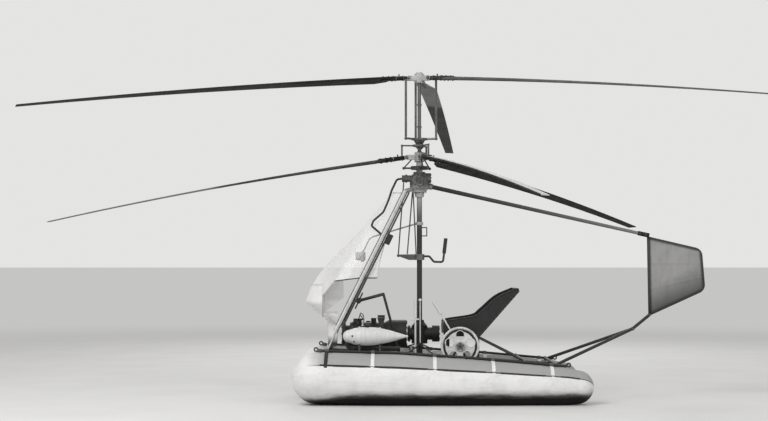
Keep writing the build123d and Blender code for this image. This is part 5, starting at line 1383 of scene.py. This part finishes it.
lips = Shape()
bolts = Shape()
for sense in (-1, 1):
    out = Vector((0, sense, 0))
    bolts.bolt_ring(WHEEL + out * 0.016, out, 0.024, 5, 0.009, 0.3)
    for angle in circle(5):
        middle = WHEEL + upright(angle + pi / 2) * HOLE_PLACE + out * WHEEL_FACE
        hole = [middle + upright(turn) * (HOLE_RADIUS + 0.0015) for turn in (*circle(40), tau)]
        lips.tube(hole, 0.0026)
    for angle in circle(20):
        bolts.turned(WHEEL + upright(angle) * 0.1235 + out * WHEEL_FACE, out, RIVET, 10)
piece("wheel_lips", lips, "white_paint", body="wheel")
piece("wheel_bolts", bolts, "bright_steel", body="wheel")


# Instrument pod: plain dials with a needle each, behind glass

DIAL_FACE = -0.418
DIAL_HEIGHT = 1.089
DIAL_SPREAD = 0.037
NEEDLES = (215, 140)  # degrees from the right, anticlockwise as the pilot sees them
BEZEL = ((0, 0.031), (0.002, 0.0315), (0.0045, 0.03), (0.0045, 0.0268), (0.0005, 0.0262), (0, 0.0262))
AFT = Vector((1, 0, 0))

bezels = Shape()
faces = Shape()
marks = Shape()
glasses = Shape()
for side, needle in zip(SIDES, NEEDLES):
    middle = at(DIAL_FACE, side * DIAL_SPREAD, DIAL_HEIGHT)
    bezels.turned(middle, AFT, BEZEL, 48)
    bezels.bolt_ring(middle + Vector((-0.008, 0, 0)), AFT, 0.036, 3, 0.005, 0.6)
    faces.turned(middle, AFT, ((0.0001, 0.0264), (0.0009, 0.0264), (0.0009, 0.001)), 48)
    glasses.turned(middle, AFT, ((0.0032, 0.0266), (0.004, 0.0262), (0.0046, 0.012), (0.0047, 0.001)), 48)
    for tick in range(31):
        start, thick = (0.0185, 0.0008) if tick % 5 == 0 else (0.0212, 0.0004)
        out = outward(tick * 10 - 60, -1)
        marks.tube([middle + AFT * 0.0012 + out * reach for reach in (start, 0.024)], thick, 4)
    out = outward(needle, -1)
    marks.tube([middle + AFT * 0.0018 + out * reach for reach in (-0.005, 0.019)], 0.0009, 6)
    marks.turned(middle, AFT, ((0.0009, 0.0028), (0.0026, 0.0028), (0.003, 0.0018)), 16)
piece("dial_bezels", bezels, "dark_case", "bright_steel")
piece("dial_faces", faces, "dark_case", "dial_face")
piece("dial_marks", marks, "white_paint", "dial_mark")
piece("dial_glasses", glasses, "clear_panel", "dial_glass")


# Floor, backdrop, light and camera

FLOOR_TONE = 0.64
FAR_TONE = 0.56
SKY_TONE = 0.78
LIGHT_TONE = 0.86
LIGHT_STRENGTH = 0.55
REACH = 2500.0
NEAR = 5.0  # the floor's own shading fades to a plain tone between these distances
FAR = 16.0


def seen_directly(m):
    """1 where the camera, a gloss or a clear sheet looks, 0 for the light that falls on the craft."""
    path = m.add("ShaderNodeLightPath")
    seen = m.math("MAXIMUM", path.outputs["Is Camera Ray"], path.outputs["Is Glossy Ray"])
    return m.math("MAXIMUM", seen, path.outputs["Is Transmission Ray"])


def pale_floor():
    """Pale floor that keeps the craft's shadow near it and one plain tone far away."""
    m = nodes_of("pale_floor")
    material = m.made(m.spots((0.3, FLOOR_TONE - 0.02), (0.7, FLOOR_TONE + 0.02), 1.5, 4.0), 0.9)
    distance = m.add("ShaderNodeVectorMath", operation="LENGTH", Vector=m.place()).outputs["Value"]
    far = m.math("MULTIPLY", seen_directly(m), m.fade(distance, NEAR, FAR))
    plain = m.add("ShaderNodeEmission", Color=grey(FAR_TONE))
    m.blended(far, m.tree.nodes["Principled BSDF"], plain, "Material Output")
    return material


def pale_world():
    """A pale backdrop where it is seen, and a softer plain light elsewhere."""
    w = Nodes(bpy.data.worlds.new("studio"))
    light = w.tree.nodes["Background"]
    w.put(light.inputs["Color"], grey(LIGHT_TONE))
    w.put(light.inputs["Strength"], LIGHT_STRENGTH)
    backdrop = w.add("ShaderNodeBackground", Color=grey(SKY_TONE))
    w.blended(seen_directly(w), light, backdrop, "World Output")
    return w.owner


floor_mesh = bpy.data.meshes.new("floor")
corners = [(-REACH, -REACH, 0), (REACH, -REACH, 0), (REACH, REACH, 0), (-REACH, REACH, 0)]
floor_mesh.from_pydata(corners, [], [(0, 1, 2, 3)])
floor_mesh.materials.append(pale_floor())
floor = placed("floor", floor_mesh)
scene.world = pale_world()


LAMP_TARGET = Vector((0.2, 0.0, 1.0))


def lamp(name, energy, size, place):
    """A soft area lamp turned to the craft."""
    light = bpy.data.lights.new(name, "AREA")
    light.energy = energy
    light.size = size
    holder = placed(name, light)
    holder.location = place
    holder.rotation_euler = (LAMP_TARGET - Vector(place)).to_track_quat("-Z", "Y").to_euler()


lamp("key", 620.0, 5.0, (-4.0, -6.5, 7.0))
lamp("fill", 220.0, 6.0, (6.0, -7.0, 4.0))
lamp("back", 260.0, 6.0, (1.0, 7.5, 6.0))

# The photograph's camera, from the rotor tips, the floats and the horizon
CAMERA_PLACE = (-0.021, -11.47, 1.014)
CAMERA_PITCH = 2.12  # degrees above level
FOCAL_PIXELS = 1500.0
PHOTO_WIDTH = 768

camera_data = bpy.data.cameras.new("camera")
camera_data.sensor_width = 36.0
camera_data.lens = 36.0 * FOCAL_PIXELS / PHOTO_WIDTH
camera = placed("camera", camera_data)
camera.location = CAMERA_PLACE
camera.rotation_euler = (radians(90 + CAMERA_PITCH), 0, 0)
scene.camera = camera
scene.view_settings.view_transform = "Standard"
